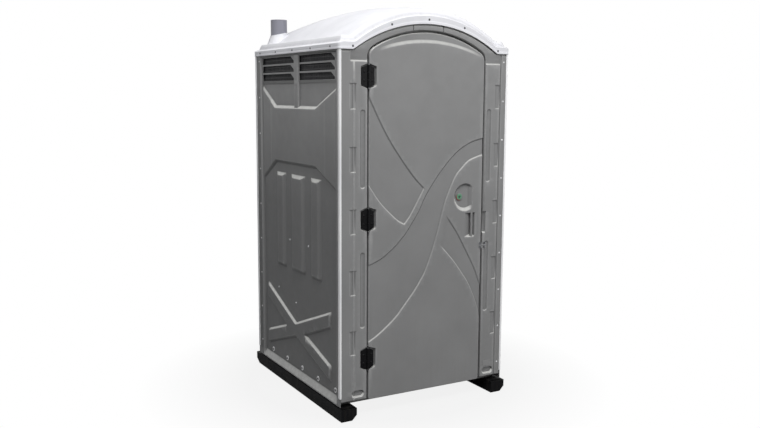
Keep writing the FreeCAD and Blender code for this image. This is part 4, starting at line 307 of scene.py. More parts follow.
def triangulated(outline, holes, lines, points):
    """Points and triangles inside an outline and outside its holes, all turned the same way round."""
    places = []
    edges = []
    for loop in [outline, *holes, *lines]:
        first, count = len(places), len(loop)
        places.extend(loop)
        edges.extend((first + i, first + (i + 1) % count) for i in range(count))
    places = [Vector((float(u), float(v))) for u, v in [*places, *points]]
    found, _, faces, _, _, _ = delaunay_2d_cdt(places, edges, [], 0, SAME_PLACE, False)
    flat = np.array([tuple(p) for p in found])
    faces = np.array(faces)
    middle = flat[faces].mean(1)
    keep = depth_in(outline, middle[:, 0], middle[:, 1]) > 0
    for hole in holes:
        keep &= depth_in(hole, middle[:, 0], middle[:, 1]) < 0
    used, faces = np.unique(faces[keep], return_inverse=True)
    flat = flat[used]
    faces = faces.reshape(-1, 3)
    a, b, c = flat[faces].transpose(1, 2, 0)
    wrong = (b[0] - a[0]) * (c[1] - a[1]) - (c[0] - a[0]) * (b[1] - a[1]) < 0
    faces[wrong] = faces[wrong][:, ::-1]
    return flat, faces


def outward_edges(flat, faces):
    """The edges that only one triangle has, each with its direction out of the sheet."""
    sides = np.concatenate([faces[:, [0, 1]], faces[:, [1, 2]], faces[:, [2, 0]]])
    pairs = dict.fromkeys(map(tuple, sides.tolist()))
    rim = {}
    for i, j in pairs:
        if (j, i) not in pairs:
            edge = flat[j] - flat[i]
            edge /= max(np.linalg.norm(edge), TINY)
            rim[i, j] = np.array([edge[1], -edge[0]])
    return rim


def placed(name, data):
    """A new object in the scene."""
    obj = bpy.data.objects.new(name, data)
    bpy.context.scene.collection.objects.link(obj)
    return obj


def panel(name, plane, outline, top, under, holes=(), lines=(), points=(), side=((0, 0), (1, 0)), painted_light=None):
    """A sheet between two height surfaces over one outline. Heights are outwards from its plane.

    Its side runs through pairs of a share of the thickness and how far it is drawn in. Ridges are paled
    as wear and hollows darkened as painted shade. What the last argument gives adds painted highlight where
    it is positive and painted shade where it is negative.
    """
    flat, faces = triangulated(outline, holes, lines, points)
    u, v = flat.T
    count = len(flat)
    rim = outward_edges(flat, faces)
    outward = {}
    for edge, direction in rim.items():
        for k in edge:
            outward.setdefault(k, []).append(direction)
    at = np.array(sorted(outward))
    rank = {k: i for i, k in enumerate(at.tolist())}
    mean = np.array([sum(outward[k]) / len(outward[k]) for k in rank])
    mean /= np.maximum(np.linalg.norm(mean, axis=1), 0.5)[:, None]

    front = top(u, v)
    back = under(u, v)
    coords = [np.stack([u, v, front], 1), np.stack([u, v, back], 1)]
    for share, pull in side:
        level = front[at] + share * (back[at] - front[at])
        coords.append(np.stack([u[at] - pull * mean[:, 0], v[at] - pull * mean[:, 1], level], 1))
    coords = np.concatenate(coords)

    polygons = faces.tolist() + (faces[:, ::-1] + count).tolist()
    corners = list(normals(top, u, v, 1)[faces]) + list(normals(under, u, v, -1)[faces[:, ::-1]])
    for (i, j), own in rim.items():
        ends = [mean[rank[k]] if mean[rank[k]] @ own > SMOOTH_CORNER else own for k in (j, i)]
        for row, (upper, lower) in enumerate(zip(side, side[1:])):
            a, b = (2 * count + row * len(at) + rank[k] for k in (i, j))
            polygons.append([b, a, a + len(at), b + len(at)])
            drop = max((lower[0] - upper[0]) * abs(front[i] - back[i]), 1e-3)
            tilt = (upper[1] - lower[1]) / drop
            corner = np.array([(n[0], n[1], tilt) for n in (ends[0], ends[1], ends[1], ends[0])])
            corners.append(corner / math.sqrt(1 + tilt ** 2))
    origin, *axes = (np.array(value, float) for value in PLANES[plane])
    turn = np.stack(axes)
    if np.linalg.det(turn) < 0:
        polygons = [polygon[::-1] for polygon in polygons]
        corners = [corner[::-1] for corner in corners]

    mesh = bpy.data.meshes.new(name)
    mesh.from_pydata(((origin + coords @ turn) * MM).tolist(), [], polygons)
    mesh.update()
    mesh.polygons.foreach_set("use_smooth", np.ones(len(mesh.polygons), bool))
    mesh.normals_split_custom_set((np.concatenate(corners) @ turn).tolist())
    # Ridges are paled as wear and hollows darkened as painted shade; the added marks give painted highlight
    # and painted shade.
    wear_and_painted_light = np.zeros(len(coords))
    wear_and_painted_light[:count] = -BEND_GAIN * bend(top, u, v)
    if painted_light:
        wear_and_painted_light[:count] += painted_light(u, v)
    for key, values in (("wear_and_highlight", wear_and_painted_light), ("painted_shade", -wear_and_painted_light)):
        layer = mesh.attributes.new(key, "FLOAT", "POINT")
        layer.data.foreach_set("value", np.clip(values, 0, 1).astype(np.float32))
    return placed(name, mesh)


def stand_in(obj, body, material, slot, *replaced):
    obj.data.materials.append(material)
    if replaced:
        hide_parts(*replaced)
    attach(obj, body)


# Materials

class Graph:
    """A short way to write the nodes of a material or of the world."""

    def __init__(self, owner):
        owner.use_nodes = True
        self.owner = owner
        self.tree = owner.node_tree
        self.shader = self.tree.nodes.get("Principled BSDF")
        self.places = self.add("TexCoord")
        self.coords = self.places["Object"]

    def put(self, node, values):
        """Gives a node's sockets numbers, colours or other nodes' outputs."""
        for socket, value in values.items():
            if isinstance(value, (int, float, tuple)):
                node.inputs[socket].default_value = value
            else:
                self.tree.links.new(value, node.inputs[socket])

    def add(self, kind, values=(), **settings):
        """Adds a node, with values for its sockets, and gives its outputs."""
        node = self.tree.nodes.new("ShaderNode" + kind)
        for key, value in settings.items():
            setattr(node, key, value)
        self.put(node, dict(values))
        return node.outputs

    def noise(self, scale, detail=4.0, rough=0.55, stretch=None):
        source = self.coords
        if stretch:
            source = self.add("Mapping", {"Scale": stretch, "Vector": source})["Vector"]
        values = {"Scale": scale, "Detail": detail, "Roughness": rough, "Vector": source}
        return self.add("TexNoise", values)["Fac"]

    def fit(self, source, low, high, out_low=0.0, out_high=1.0):
        values = {"Value": source, "From Min": low, "From Max": high, "To Min": out_low, "To Max": out_high}
        return self.add("MapRange", values)["Result"]

    def attribute(self, name):
        return self.add("Attribute", attribute_name=name)["Fac"]

    def math(self, operation, a, b):
        return self.add("Math", {0: a, 1: b}, operation=operation)["Value"]

    def times(self, a, b):
        return self.math("MULTIPLY", a, b)

    def mix(self, factor, a, b):
        """Mixes two colours, which the node takes at its sockets 6 and 7."""
        return self.add("Mix", {0: factor, 6: a, 7: b}, data_type="RGBA")[2]

    def parts(self, vector):
        return self.add("SeparateXYZ", {"Vector": vector})

    def vector_math(self, operation, *vectors):
        return self.add("VectorMath", enumerate(vectors), operation=operation)

    def shade(self, colour, rough, *bumps):
        """Finishes a material. Each bump is given as (source, distance in metres, strength)."""
        values = {}
        for source, reach, strength in bumps:
            values.update({"Height": source, "Distance": reach, "Strength": strength})
            values["Normal"] = self.add("Bump", values)["Normal"]
        self.put(self.shader, {"Base Color": colour, "Roughness": rough, "Normal": values["Normal"]})
        return self.owner


def material(name):
    return Graph(bpy.data.materials.new(name))


def linear(code, gain=1.0):
    """A colour written as six hex digits, as the shader wants it."""
    channels = [int(code[i:i + 2], 16) / 255 for i in (0, 2, 4)]
    return tuple(min(1.0, gain * (c / 12.92 if c <= 0.04045 else ((c + 0.055) / 1.055) ** 2.4))
                 for c in channels) + (1.0,)


SOIL = "6e675c"
# Pale colour of settled dust and of painted highlight on upward faces.
DUST_AND_HIGHLIGHT = "e0e0dc"
SOIL_HEIGHTS = (0.1, 0.75)
# Heights in metres over which the painted shade low on the walls fades out.
LOW_SHADE_HEIGHTS = (1.15, 1.7)
DUST_AND_HIGHLIGHT_SLOPES = (0.15, 0.6)


def moulded(name, code, rough=0.5, grain=0.5, dirt_and_shade=0.5, wear_and_highlight=0.5, specular=0.4, dust_and_highlight=0.0, low_shade=0.0):
    """Moulded plastic: mottling, fine grain, soil low down, painted shade in creases, pale edges and ledges.

    Edges are paled partly by wear and partly as painted highlight, upward ledges partly by dust and partly
    as painted highlight. The low shade is painted shade that darkens the colour low down and thins out
    higher up. Heights are in metres over the ground.
    """
    g = material(name)
    g.put(g.shader, {"Specular IOR Level": specular})
    height = g.parts(g.coords)["Z"]
    colour = g.mix(g.fit(g.noise(3.2, 5.0), 0.3, 0.7), linear(code, 0.93), linear(code, 1.07))
    speck = g.fit(g.noise(420.0, 2.0), 0.52, 0.75, 0.0, 0.16)
    colour = g.mix(speck, colour, linear(code, 0.72))
    streak = g.fit(g.noise(6.0, 6.0, 0.6, (7.0, 7.0, 0.55)), 0.5, 0.78, 0.0, 0.5 * dirt_and_shade)
    soil_and_painted_light = tuple(0.55 * c + 0.45 * d for c, d in zip(linear(code), linear(SOIL)))
    colour = g.mix(g.times(streak, g.fit(height, *SOIL_HEIGHTS, 1.0, 0.25)), colour, soil_and_painted_light)
    # Painted shade: darker low down and fading out higher up, as the light falls from above.
    if low_shade:
        colour = g.mix(g.fit(height, *LOW_SHADE_HEIGHTS, low_shade, 0.0), colour, linear(code, 0.5))
    patchy = g.fit(g.noise(38.0, 5.0, 0.7), 0.42, 0.66)

    def uneven(source, least):
        return g.times(source, g.fit(patchy, 0.0, 1.0, least, 1.0))

    # Painted shade: creases, hollows and recesses are darkened.
    colour = g.mix(g.times(uneven(g.attribute("painted_shade"), 0.6), 1.1 * dirt_and_shade), colour, linear(code, 0.3))
    # Paler ridges and marked lines: edge wear, and painted highlight where the panels add it.
    paled = g.times(uneven(g.attribute("wear_and_highlight"), 0.5), 1.3 * wear_and_highlight)
    colour = g.mix(paled, colour, linear(code, 1.55))
    scuffs = g.fit(g.noise(9.0, 7.0, 0.75, (1.0, 1.0, 5.0)), 0.66, 0.7, 0.0, 0.14 * wear_and_highlight)
    colour = g.mix(scuffs, colour, linear(code, 1.35))
    # Upward faces are paled: settled dust, and painted highlight from the light overhead.
    if dust_and_highlight:
        upward = g.parts(g.add("NewGeometry")["Normal"])["Z"]
        dust_and_highlight_share = uneven(g.fit(upward, *DUST_AND_HIGHLIGHT_SLOPES), 0.8)
        colour = g.mix(g.times(dust_and_highlight_share, dust_and_highlight), colour, linear(DUST_AND_HIGHLIGHT))
    sheen = g.fit(g.noise(14.0, 5.0), 0.3, 0.7, rough - 0.07, rough + 0.07)
    return g.shade(colour, g.math("ADD", sheen, g.times(paled, -0.2)),
                   (g.noise(5.0, 3.0), 0.0025, 0.22 * grain), (g.noise(620.0, 2.0), 0.0002, 0.5 * grain))


def brushed(name, code, rough=0.32, metallic=1.0):
    """Metal with fine scratches and dull patches."""
    g = material(name)
    g.put(g.shader, {"Metallic": metallic})
    dull = g.fit(g.noise(60.0, 5.0), 0.35, 0.7)
    scratches = g.noise(900.0, 3.0, 0.6, (1.0, 1.0, 0.06))
    return g.shade(g.mix(dull, linear(code), linear(code, 0.72)),
                   g.fit(scratches, 0.3, 0.7, rough - 0.08, rough + 0.14), (scratches, 0.0001, 0.35))


def papery(name, code):
    g = material(name)
    crease = g.noise(210.0, 5.0, 0.7)
    return g.shade(g.mix(g.fit(crease, 0.35, 0.7), linear(code), linear(code, 0.86)),
                   g.fit(crease, 0.3, 0.7, 0.85, 0.97), (crease, 0.0006, 0.5))


FINISHES = {
    "shell": moulded("grey_shell", "888888", dust_and_highlight=0.7),
    # The walls' finish is a shaded copy of the grey shell: a paler base, with painted shade low down.
    "wall": moulded("grey_shell_wall", "8c8c8c", dust_and_highlight=0.88, low_shade=0.6),
    "deck": moulded("grey_deck", "7c7c7c", rough=0.55, dirt_and_shade=0.8, dust_and_highlight=0.2),
    "inner": moulded("grey_shell_inside", "8d8d8d", rough=0.55, dirt_and_shade=0.8),
    "white": moulded("white_shell", "eeeef2", grain=0.3, dirt_and_shade=0.25, wear_and_highlight=0.2, specular=0.03),
    "post": moulded("white_post", "fafafc", rough=0.35, grain=0.3, dirt_and_shade=0.1, wear_and_highlight=0.1, specular=0.5),
    "skid": moulded("black_plastic", "0d0d0f", dirt_and_shade=0.4, wear_and_highlight=0.6, specular=0.12),
    "hinge": moulded("hinge_black", "0d0d0f", rough=0.35, dirt_and_shade=0.1, specular=0.12),
    "steel": brushed("steel", "b9babd"),
    "rivet": brushed("white_rivet", "f0f0f2", rough=0.35, metallic=0.1),
    "screw": brushed("dark_screw", "4c4c50", rough=0.45, metallic=0.6),
    "washer": moulded("washer_white", "f4f4f4", rough=0.45, dirt_and_shade=0.3, wear_and_highlight=0.2),
    "pipe": moulded("pipe_grey", "8e8e98", rough=0.45, grain=0.4, dirt_and_shade=0.3),
    "screen": moulded("screen_dark", "2b2b2d", rough=0.6, dirt_and_shade=0.6),
    "tank": moulded("tank_grey", "5d5f62", rough=0.45, dirt_and_shade=0.4),
    "seat": moulded("seat_black", "1c1c1e", rough=0.33, dirt_and_shade=0.2, wear_and_highlight=0.3),
    "drain": moulded("drain_grey", "7d7f83", rough=0.45),
    "holder": moulded("holder_grey", "6b6d70", rough=0.42),
    "paper": papery("paper", "eceae4"),
    "latch": moulded("latch_black", "202022", rough=0.4),
    "plate": moulded("plate", "8f8f8f", rough=0.4),
}


# Walls: heights over the ground, and slopes as their width and how far their ends are rounded

LEDGE_SLOPE = (42.0, 4.0)
LEDGE_TOP = WALL_FOOT + LEDGE_SLOPE[0] + 5.0
EAVE_STEP, EAVE_SLOPE = 2043, (9.0, 3.0)
LOW_SOFT, HIGH_SOFT = 4.0, 5.0
BAND_FOOT, BAND_HEAD = 1394, 1747
BAND_LOW_ARM, BAND_HIGH_ARM = (268, 111), (216, 122)
FOLD_OUT, FOLD_IN, FOLD_IN_SLOPE = 396, 150, (12.0, 4.0)
CROSS_Z, CROSS_HALF = 371, 49
CROSS_HEAD, CROSS_FOOT = CROSS_Z + 174, CROSS_Z - 145
NOTCH_UP, NOTCH_OUT = 47, 150
RIB_MIDDLE, RIB_HALF, RIB_RISE = 1037, 297, 14.0
RIB_SIDE, RIB_END = (28.0, 8.0), (21.0, 3.0)
RIB_PITCH, RIB_WIDTHS = 253, (138, 196, 138)
VENT_FOOT, VENT_HEIGHT, VENT_PITCH = 1898, 41, 51
VENT_RIB_HALF = 36
SILL = 1881
SILL_STEPS = (-0.7, -0.1, 1.5, 2.2, 0.7, 3.5, 15.5, 16.5)
MESH_PITCH = 24


def band_outline(low, high):
    """The raised bow tie between the field's two sides."""
    low_in, low_drop = BAND_LOW_ARM
    high_in, high_drop = BAND_HIGH_ARM
    return [(high, BAND_FOOT - high_drop), (high - high_in, BAND_FOOT), (low + low_in, BAND_FOOT),
            (low, BAND_FOOT - low_drop), (low, BAND_HEAD + low_drop), (low + low_in, BAND_HEAD),
            (high - high_in, BAND_HEAD), (high, BAND_HEAD + high_drop)]


def cross_outline(left, right, centre):
    half = CROSS_HALF
    return [(centre, CROSS_Z + NOTCH_UP), (right, CROSS_HEAD + half), (right, CROSS_HEAD - half),
            (centre + NOTCH_OUT, CROSS_Z), (right, CROSS_FOOT + half), (right, CROSS_FOOT - half),
            (centre, CROSS_Z - NOTCH_UP), (left, CROSS_FOOT - half), (left, CROSS_FOOT + half),
            (centre - NOTCH_OUT, CROSS_Z), (left, CROSS_HEAD - half), (left, CROSS_HEAD + half)]


def vent_slots(spans):
    """Three slots in each span, with a corner cut off."""
    rows = [(VENT_FOOT + i * VENT_PITCH, VENT_FOOT + i * VENT_PITCH + VENT_HEIGHT) for i in range(3)]
    return [[(start, foot), (end, foot), (end, head), (start + 48, head), (start, foot + 13)]
            for start, end in spans for foot, head in rows]


class Wall:
    """A formed sheet: flanges, raised band, three ribs, a raised cross and slots under the eave.

    Each flange is given as its width and the width of its slope down to the field, which lies
    between near and far.
    """

    def __init__(self, low, high, low_flange, high_flange, gable=False):
        self.low, self.high, self.gable = low, high, gable
        self.near = low + sum(low_flange)
        self.far = high - sum(high_flange)
        self.low_slope = (low_flange[1], LOW_SOFT)
        self.high_slope = (high_flange[1], HIGH_SOFT)
        self.centre = (self.near + self.far) / 2
        self.band = band_outline(self.near, self.far)
        self.cross = cross_outline(self.near + 85, self.far - 50, self.centre + 38)
        vent_rib = rectangle(self.centre - VENT_RIB_HALF, self.centre + VENT_RIB_HALF, 1700, 2090)
        self.raised = [(self.band, 15, (15, 4)), (self.cross, 12, (13, 3)), (vent_rib, 11, (8, 3))]
        self.ribs = [(self.centre + (i - 1) * RIB_PITCH, width) for i, width in enumerate(RIB_WIDTHS)]
        beside_rib = VENT_RIB_HALF + 2
        self.slots = vent_slots(((self.near + 24, self.centre - beside_rib),
                                 (self.centre + beside_rib, self.far - 4)))

    def top(self, u, v):
        lifts = [RELIEF * ramp(self.near - u, *self.low_slope),
                 RELIEF * ramp(u - self.far, *self.high_slope),
                 RELIEF * ramp(LEDGE_TOP - v, *LEDGE_SLOPE),
                 RELIEF * ramp(v - EAVE_STEP, *EAVE_SLOPE)]
        for outline, rise, slope in self.raised:
            if outline is self.band:
                rise = rise - (5.0 * ramp(self.centre - FOLD_OUT - u, 120.0, 8.0)
                               + 4.0 * ramp(u - self.far + FOLD_IN, *FOLD_IN_SLOPE))
            lifts.append(rise * ramp(depth_in(outline, u, v), *slope))
        for middle, width in self.ribs:
            sides = ramp(width / 2 - np.abs(u - middle), *RIB_SIDE)
            ends = ramp(RIB_HALF - np.abs(v - RIB_MIDDLE), *RIB_END)
            lifts.append(RIB_RISE * np.minimum(sides, ends))
        sill = 2.5 * ramp(v - SILL, 1.5, 0.7) + 4.5 * ramp(v - SILL - 2, 15.0, 1.5)
        lifts.append(sill * ramp(u - self.near - 16, 6.0, 2.0))
        return np.maximum.reduce(lifts) - RELIEF

    def under(self, u, v):
        return self.top(u, v) - SHEET

    def soil_and_painted_light(self, u, v):
        """Painted highlight along the foot ledge, darker on the high flange, and painted shade under the
        slots.
        """
        under_slots = 0.5 * ramp(v - 1850, 30.0, 5.0) * ramp(SILL + 3 - v, 3.0, 1.0)
        flange = ramp(u - self.far - self.high_slope[0], 6.0, 2.0)
        return 1.4 * ramp(LEDGE_TOP - v, 8.0, 3.0) - np.maximum(flange, under_slots)

    def lines(self):
        """Lines along every slope."""
        lines = []
        for outline, _, slope in self.raised:
            lines += rings(outline, ramp_steps(*slope), MESH_PITCH)
        lines += rings(self.cross, (-7.0, 20.0), MESH_PITCH)
        for middle, width in self.ribs:
            for side, end in zip(ramp_steps(*RIB_SIDE), ramp_steps(*RIB_END)):
                half, reach = width / 2 - side, RIB_HALF - end
                box = rectangle(middle - half, middle + half, RIB_MIDDLE - reach, RIB_MIDDLE + reach)
                lines.append(divided(box, MESH_PITCH))
        lines += levels(SILL, SILL_STEPS, self.near + 10, self.far)
        for slot in self.slots:
            lines += rings(slot, [-2.0])
        head = FRAME_TOP if self.gable else WALL_TOP
        lines += uprights(self.near, ramp_steps(*self.low_slope, -1), WALL_FOOT, head)
        lines += uprights(self.far, ramp_steps(*self.high_slope), WALL_FOOT, head)
        lines += levels(LEDGE_TOP, ramp_steps(*LEDGE_SLOPE, -1), self.low, self.high)
        lines += levels(EAVE_STEP, ramp_steps(*EAVE_SLOPE), self.low, self.high)
        lines += uprights(self.centre - FOLD_OUT, (-8, 0, 8), 1296, 1850)
        lines += uprights(self.far - FOLD_IN, ramp_steps(*FOLD_IN_SLOPE), 1296, 1850)
        return lines

    def points(self):
        """An even grid, finer where slopes cross."""
        points = grid(self.low + 1, self.high - 1, WALL_FOOT + 1, WALL_TOP - 1, 30)
        points += grid(self.near - 12, self.far + 12, 1276, 1420, 7)
        points += grid(self.near - 25, self.near + 32, 1820, 2056, 7)
        points += grid(self.far - 16, self.far + 24, 1820, 2056, 7)
        points += grid(self.centre - 60, self.centre + 60, 1726, 1770, 5)
        if self.gable:
            points += grid(-450, 450, WALL_TOP, FRAME_TOP, 30)
        return points

    def outline(self):
        outline = rectangle(self.low, self.high, WALL_FOOT, WALL_TOP)
        if self.gable:
            outline[3:3] = frame_arch(ARCH_HALF, -ARCH_HALF)
        return outline


BACK_HALF = SKIN_X - 5
side_wall = Wall(-SKIN_Y, SKIN_Y, (44, 10), (76, 16))
back_wall = Wall(-BACK_HALF, BACK_HALF, (50, 20), (50, 20), gable=True)
for side, wall in (("left", side_wall), ("right", side_wall), ("back", back_wall)):
    sheet = panel(side + "_wall_sheet", side, wall.outline(), wall.top, wall.under, wall.slots, wall.lines(),
                  wall.points(), painted_light=wall.soil_and_painted_light)
    stand_in(sheet, "cabin", FINISHES["wall"], "grey_shell", "wall_" + side)


# Door

ARCH_RADIUS = 700.0
CORNER_RADIUS = 60
FOOT_RADIUS = 14.0


def arched(margin):
    """The door's outline, moved in by a margin. It starts at the right foot and goes over the arch."""
    left, right = DOOR_LEFT + margin, DOOR_RIGHT - margin
    arc, corner, foot = ARCH_RADIUS - margin, CORNER_RADIUS - margin, max(FOOT_RADIUS - margin, 1)
    centre = DOOR_TOP - ARCH_RADIUS
    reach = arc - corner
    ends = []
    for x in (right - corner, left + corner):
        z = centre + math.sqrt(reach ** 2 - x ** 2)
        ends.append((x, z, math.degrees(math.atan2(z - centre, x))))
    (right_x, right_z, right_turn), (left_x, left_z, left_turn) = ends
    points = arc_points(right - foot, DOOR_FOOT + foot, foot, -90, 0, 5)
    points += arc_points(right_x, right_z, corner, 0, right_turn, 10)
    points += arc_points(0, centre, arc, right_turn, left_turn, 60)
    points += arc_points(left_x, left_z, corner, left_turn, 180, 10)
    points += arc_points(left + foot, DOOR_FOOT + foot, foot, 180, 270, 5)
    return [p for p, q in zip(points, points[1:] + points[:1]) if math.dist(p, q) > 0.3]


def drawn(*points):
    """A smooth line through points, each given from the door's left edge and from the ground."""
    return smooth([(DOOR_LEFT + x, z) for x, z in points])


# Three sunk shapes on the door. Each runs out over the door's edge, so its ends don't show.
LEAF = (drawn((-12, 1832), (5, 1800), (126, 1580), (276, 1378), (364, 1287))
        + drawn((364, 1287), (316, 1205), (266, 1125), (231, 1083))[1:]
        + drawn((231, 1083), (176, 1115), (76, 1210), (5, 1305), (-12, 1330))[1:])
SWOOSH = (drawn((-12, 869), (5, 875), (76, 903), (126, 935), (176, 975), (226, 1025), (276, 1090),
                (326, 1165), (376, 1258), (476, 1388), (576, 1487), (676, 1545), (762, 1567), (782, 1570))
          + drawn((782, 1464), (762, 1462), (676, 1435), (626, 1395), (576, 1340), (526, 1240),
                  (496, 1160), (456, 1020), (426, 925), (376, 800), (326, 720), (276, 657),
                  (226, 600), (176, 545), (76, 468), (5, 427), (-12, 417)))
BLADE = (drawn((500, 1142), (518, 1122), (596, 1015), (676, 880), (726, 790), (762, 705), (780, 660))
         + drawn((780, 440), (762, 500), (726, 600), (676, 700), (626, 770), (576, 835), (526, 890),
                 (472, 945), (455, 960)))
DRAWN_DEPTH = 5.0
BLADE_TIP = (DOOR_LEFT + 470, 945)
BLADE_LEAN = 44 / 177

SCOOP = circle(LATCH_X + 37, LATCH_Z - 5, 82)
SCOOP_RIGHT = LATCH_X + 87
SCOOP_DEPTH = 15
DISC_RADIUS, DISC_DEPTH = 23.3, 13
PULL = (DOOR_RIGHT - 119, DOOR_RIGHT - 50, 982, 1126)
PULL_SLOPES = (48.0, 5.0, 9.0, 5.0)
PULL_DEPTH = 21.0
POCKET_DEPTH, POCKET_SLOPE = 12.0, (5.0, 1.0)
CROWN_HALF, CROWN_SIDE, CROWN_APEX = 366, DOOR_TOP - 132, DOOR_TOP - 60
CROWN_MIDDLE, CROWN_REACH, CROWN_FADE, CROWN_DEPTH = 31, 356, 130, 11.0
CROWN_LEAN = 0.92
DOOR_ROUND = 8.0


def pocket_outline(side, z):
    """A hinge's recess, on the frame's side (-1) or the door's (+1)."""
    hinge_x = DOOR_LEFT - GAP / 2
    edge = hinge_x + side * (GAP / 2 - 6)
    far = hinge_x + (52 if side > 0 else -46)
    return [(edge, z - 70), (far, z - 53), (far, z + 53), (edge, z + 70)]


door_pockets = [pocket_outline(1, z) for z in HINGES_Z]


def relief(outline, u, v, depth, width=7.0, lean=0.8, soft=2.0):
    """A sunk shape. Its slope is wider along the lower edges than along the upper ones."""
    d, rise = distance(outline, u, v)
    return depth * ramp(d, width - lean * rise, soft)


def crown_edge(u):
    return arch(u, CROWN_HALF, CROWN_SIDE, CROWN_APEX)


def door_front(u, v):
    sunk = [relief(shape, u, v, DRAWN_DEPTH) for shape in (LEAF, SWOOSH)]
    blade_start = BLADE_TIP[0] + BLADE_LEAN * (v - BLADE_TIP[1])
    sunk.append(relief(BLADE, u, v, DRAWN_DEPTH) * ramp(u - blade_start, 34.0, 4.0))
    taper = np.clip((CROWN_REACH - np.abs(u - CROWN_MIDDLE)) / CROWN_FADE, 0, 1) ** 0.6
    crown = CROWN_DEPTH * taper * ramp((v - crown_edge(u)) * CROWN_LEAN, 18.0, 4.0)
    sunk.append(np.where(v > DOOR_TOP - 260, crown, 0.0))
    scoop = SCOOP_DEPTH * ramp(SCOOP_RIGHT + 4 - u, 26.0, 4.0) + 0.012 * (LATCH_X - u)
    sunk.append(scoop * relief(SCOOP, u, v, 1.0, width=14.0, lean=5.0, soft=3.0))
    sunk.append(PULL_DEPTH * dip(PULL, PULL_SLOPES, u, v))
    sunk += [POCKET_DEPTH * ramp(depth_in(pocket, u, v), *POCKET_SLOPE) for pocket in door_pockets]
    sunk.append(DISC_DEPTH * ramp(DISC_RADIUS - np.hypot(u - LATCH_X, v - LATCH_Z), 1.0, 0.5))
    return -np.maximum.reduce(sunk) - edge_round(depth_in(door_edge, u, v), DOOR_ROUND)


def door_painted_shade(u, v):
    """Painted shade darkens the hinge recesses."""
    return -np.maximum.reduce([ramp(depth_in(pocket, u, v) - 1, 4.0, 1.0) for pocket in door_pockets])


door_edge = arched(0)
door_lines = rings(door_edge, round_steps(DOOR_ROUND) + [9, 10.5, 12.5])
for shape in (LEAF, SWOOSH, BLADE):
    door_lines += rings(shape, (-2, -0.8, 0.6, 2, 4, 5.5, 7, 8.5, 10.5))
door_lines += rings(SCOOP, (-3, -1, 1, 3, 6, 8, 10, 12, 15, 18, 21))
door_lines += dip_lines(PULL, PULL_SLOPES)
door_lines += [circle(LATCH_X, LATCH_Z, radius, 64) for radius in (24.0, 23.6, 23.0, 22.4, 21.9)]
for pocket in door_pockets:
    door_lines += rings(pocket, ramp_steps(*POCKET_SLOPE), 14)
across = np.linspace(CROWN_MIDDLE - 393, CROWN_MIDDLE + 347, 60)
door_lines += [doubled(across, crown_edge(across) + step / CROWN_LEAN)
               for step in (-4, -1.5, 1.5, 4, 8, 12, 15, 17.5, 20.5, 23)]
door_points = grid(DOOR_LEFT + 2, DOOR_RIGHT - 2, DOOR_FOOT + 2, DOOR_TOP - 2, 28)
door_points += grid(LATCH_X - 50, LATCH_X + 95, LATCH_Z - 90, LATCH_Z + 80, 7)
door = panel("door_relief_skin", "front", door_edge, door_front, level_at(-DOOR_SKIN_DEPTH), (), door_lines,
             door_points, painted_light=door_painted_shade)
stand_in(door, "door", FINISHES["shell"], "grey_shell", "door_outer_skin")


# Front frame

OPEN_LEFT = DOOR_LEFT - GAP
OPEN_RIGHT = DOOR_RIGHT + GAP
HALF_WAY = 1500
OUTSIDE = 600
JOINT_GAP = 2.2


def opening(margin):
    """The edge of the door's opening from the left foot, over the arch, to the right foot."""
    above = [p for p in arched(-margin) if p[1] > HALF_WAY][::-1]
    return [(above[0][0], FRAME_FOOT)] + above + [(above[-1][0], FRAME_FOOT)]


frame_edge = opening(GAP - 2)


def at_joint(x):
    """The opening's edge at a place across the header."""
    return x, float(np.interp(x, *zip(*frame_edge[1:-1])))


def frame_outline(start, end):
    """The frame's outline between two places across the header, which may lie outside its sides."""
    inner = [p for p in frame_edge if start < p[0] < end]
    outer = frame_arch(min(end, ARCH_HALF), max(start, -ARCH_HALF))
    if start < -FRAME_SIDE:
        outer = outer + [(-FRAME_SIDE, WALL_TOP), (-FRAME_SIDE, FRAME_FOOT)]
    else:
        inner = [at_joint(start)] + inner
    if end > FRAME_SIDE:
        outer = [(FRAME_SIDE, FRAME_FOOT), (FRAME_SIDE, WALL_TOP)] + outer
    else:
        inner = inner + [at_joint(end)]
    return inner + outer


# The jambs' recesses stand in columns, each given by how far it is from the opening.
SHORT_SLOTS_Z = [436 + i * 343 for i in range(5)]
LONG_SLOTS_Z = (732, 1520)
SHORT_COLUMN, LONG_COLUMN, FOOT_COLUMN = 88, 28, 56
LEDGE_Z, LEDGE_END = 1992, 108
RIDGE_X = OPEN_LEFT - 83
# The frame's step back under the roof's rim
REBATE = 12
REBATE_SLOPE = (6.0, 2.0)
FRAME_ROUND = 7.0
FRAME_BODY = 14
KEEPER_PAD = rectangle(OPEN_RIGHT - 5, OPEN_RIGHT + 48, LATCH_Z - 45, LATCH_Z + 45)

# A box, its slopes and its depth, of the grip recess and then of the short slots
DIPS = [((OPEN_RIGHT - 20, OPEN_RIGHT + 21, 997, 1128), (4.0, 6.0, 8.0, 3.0), 8.0)]
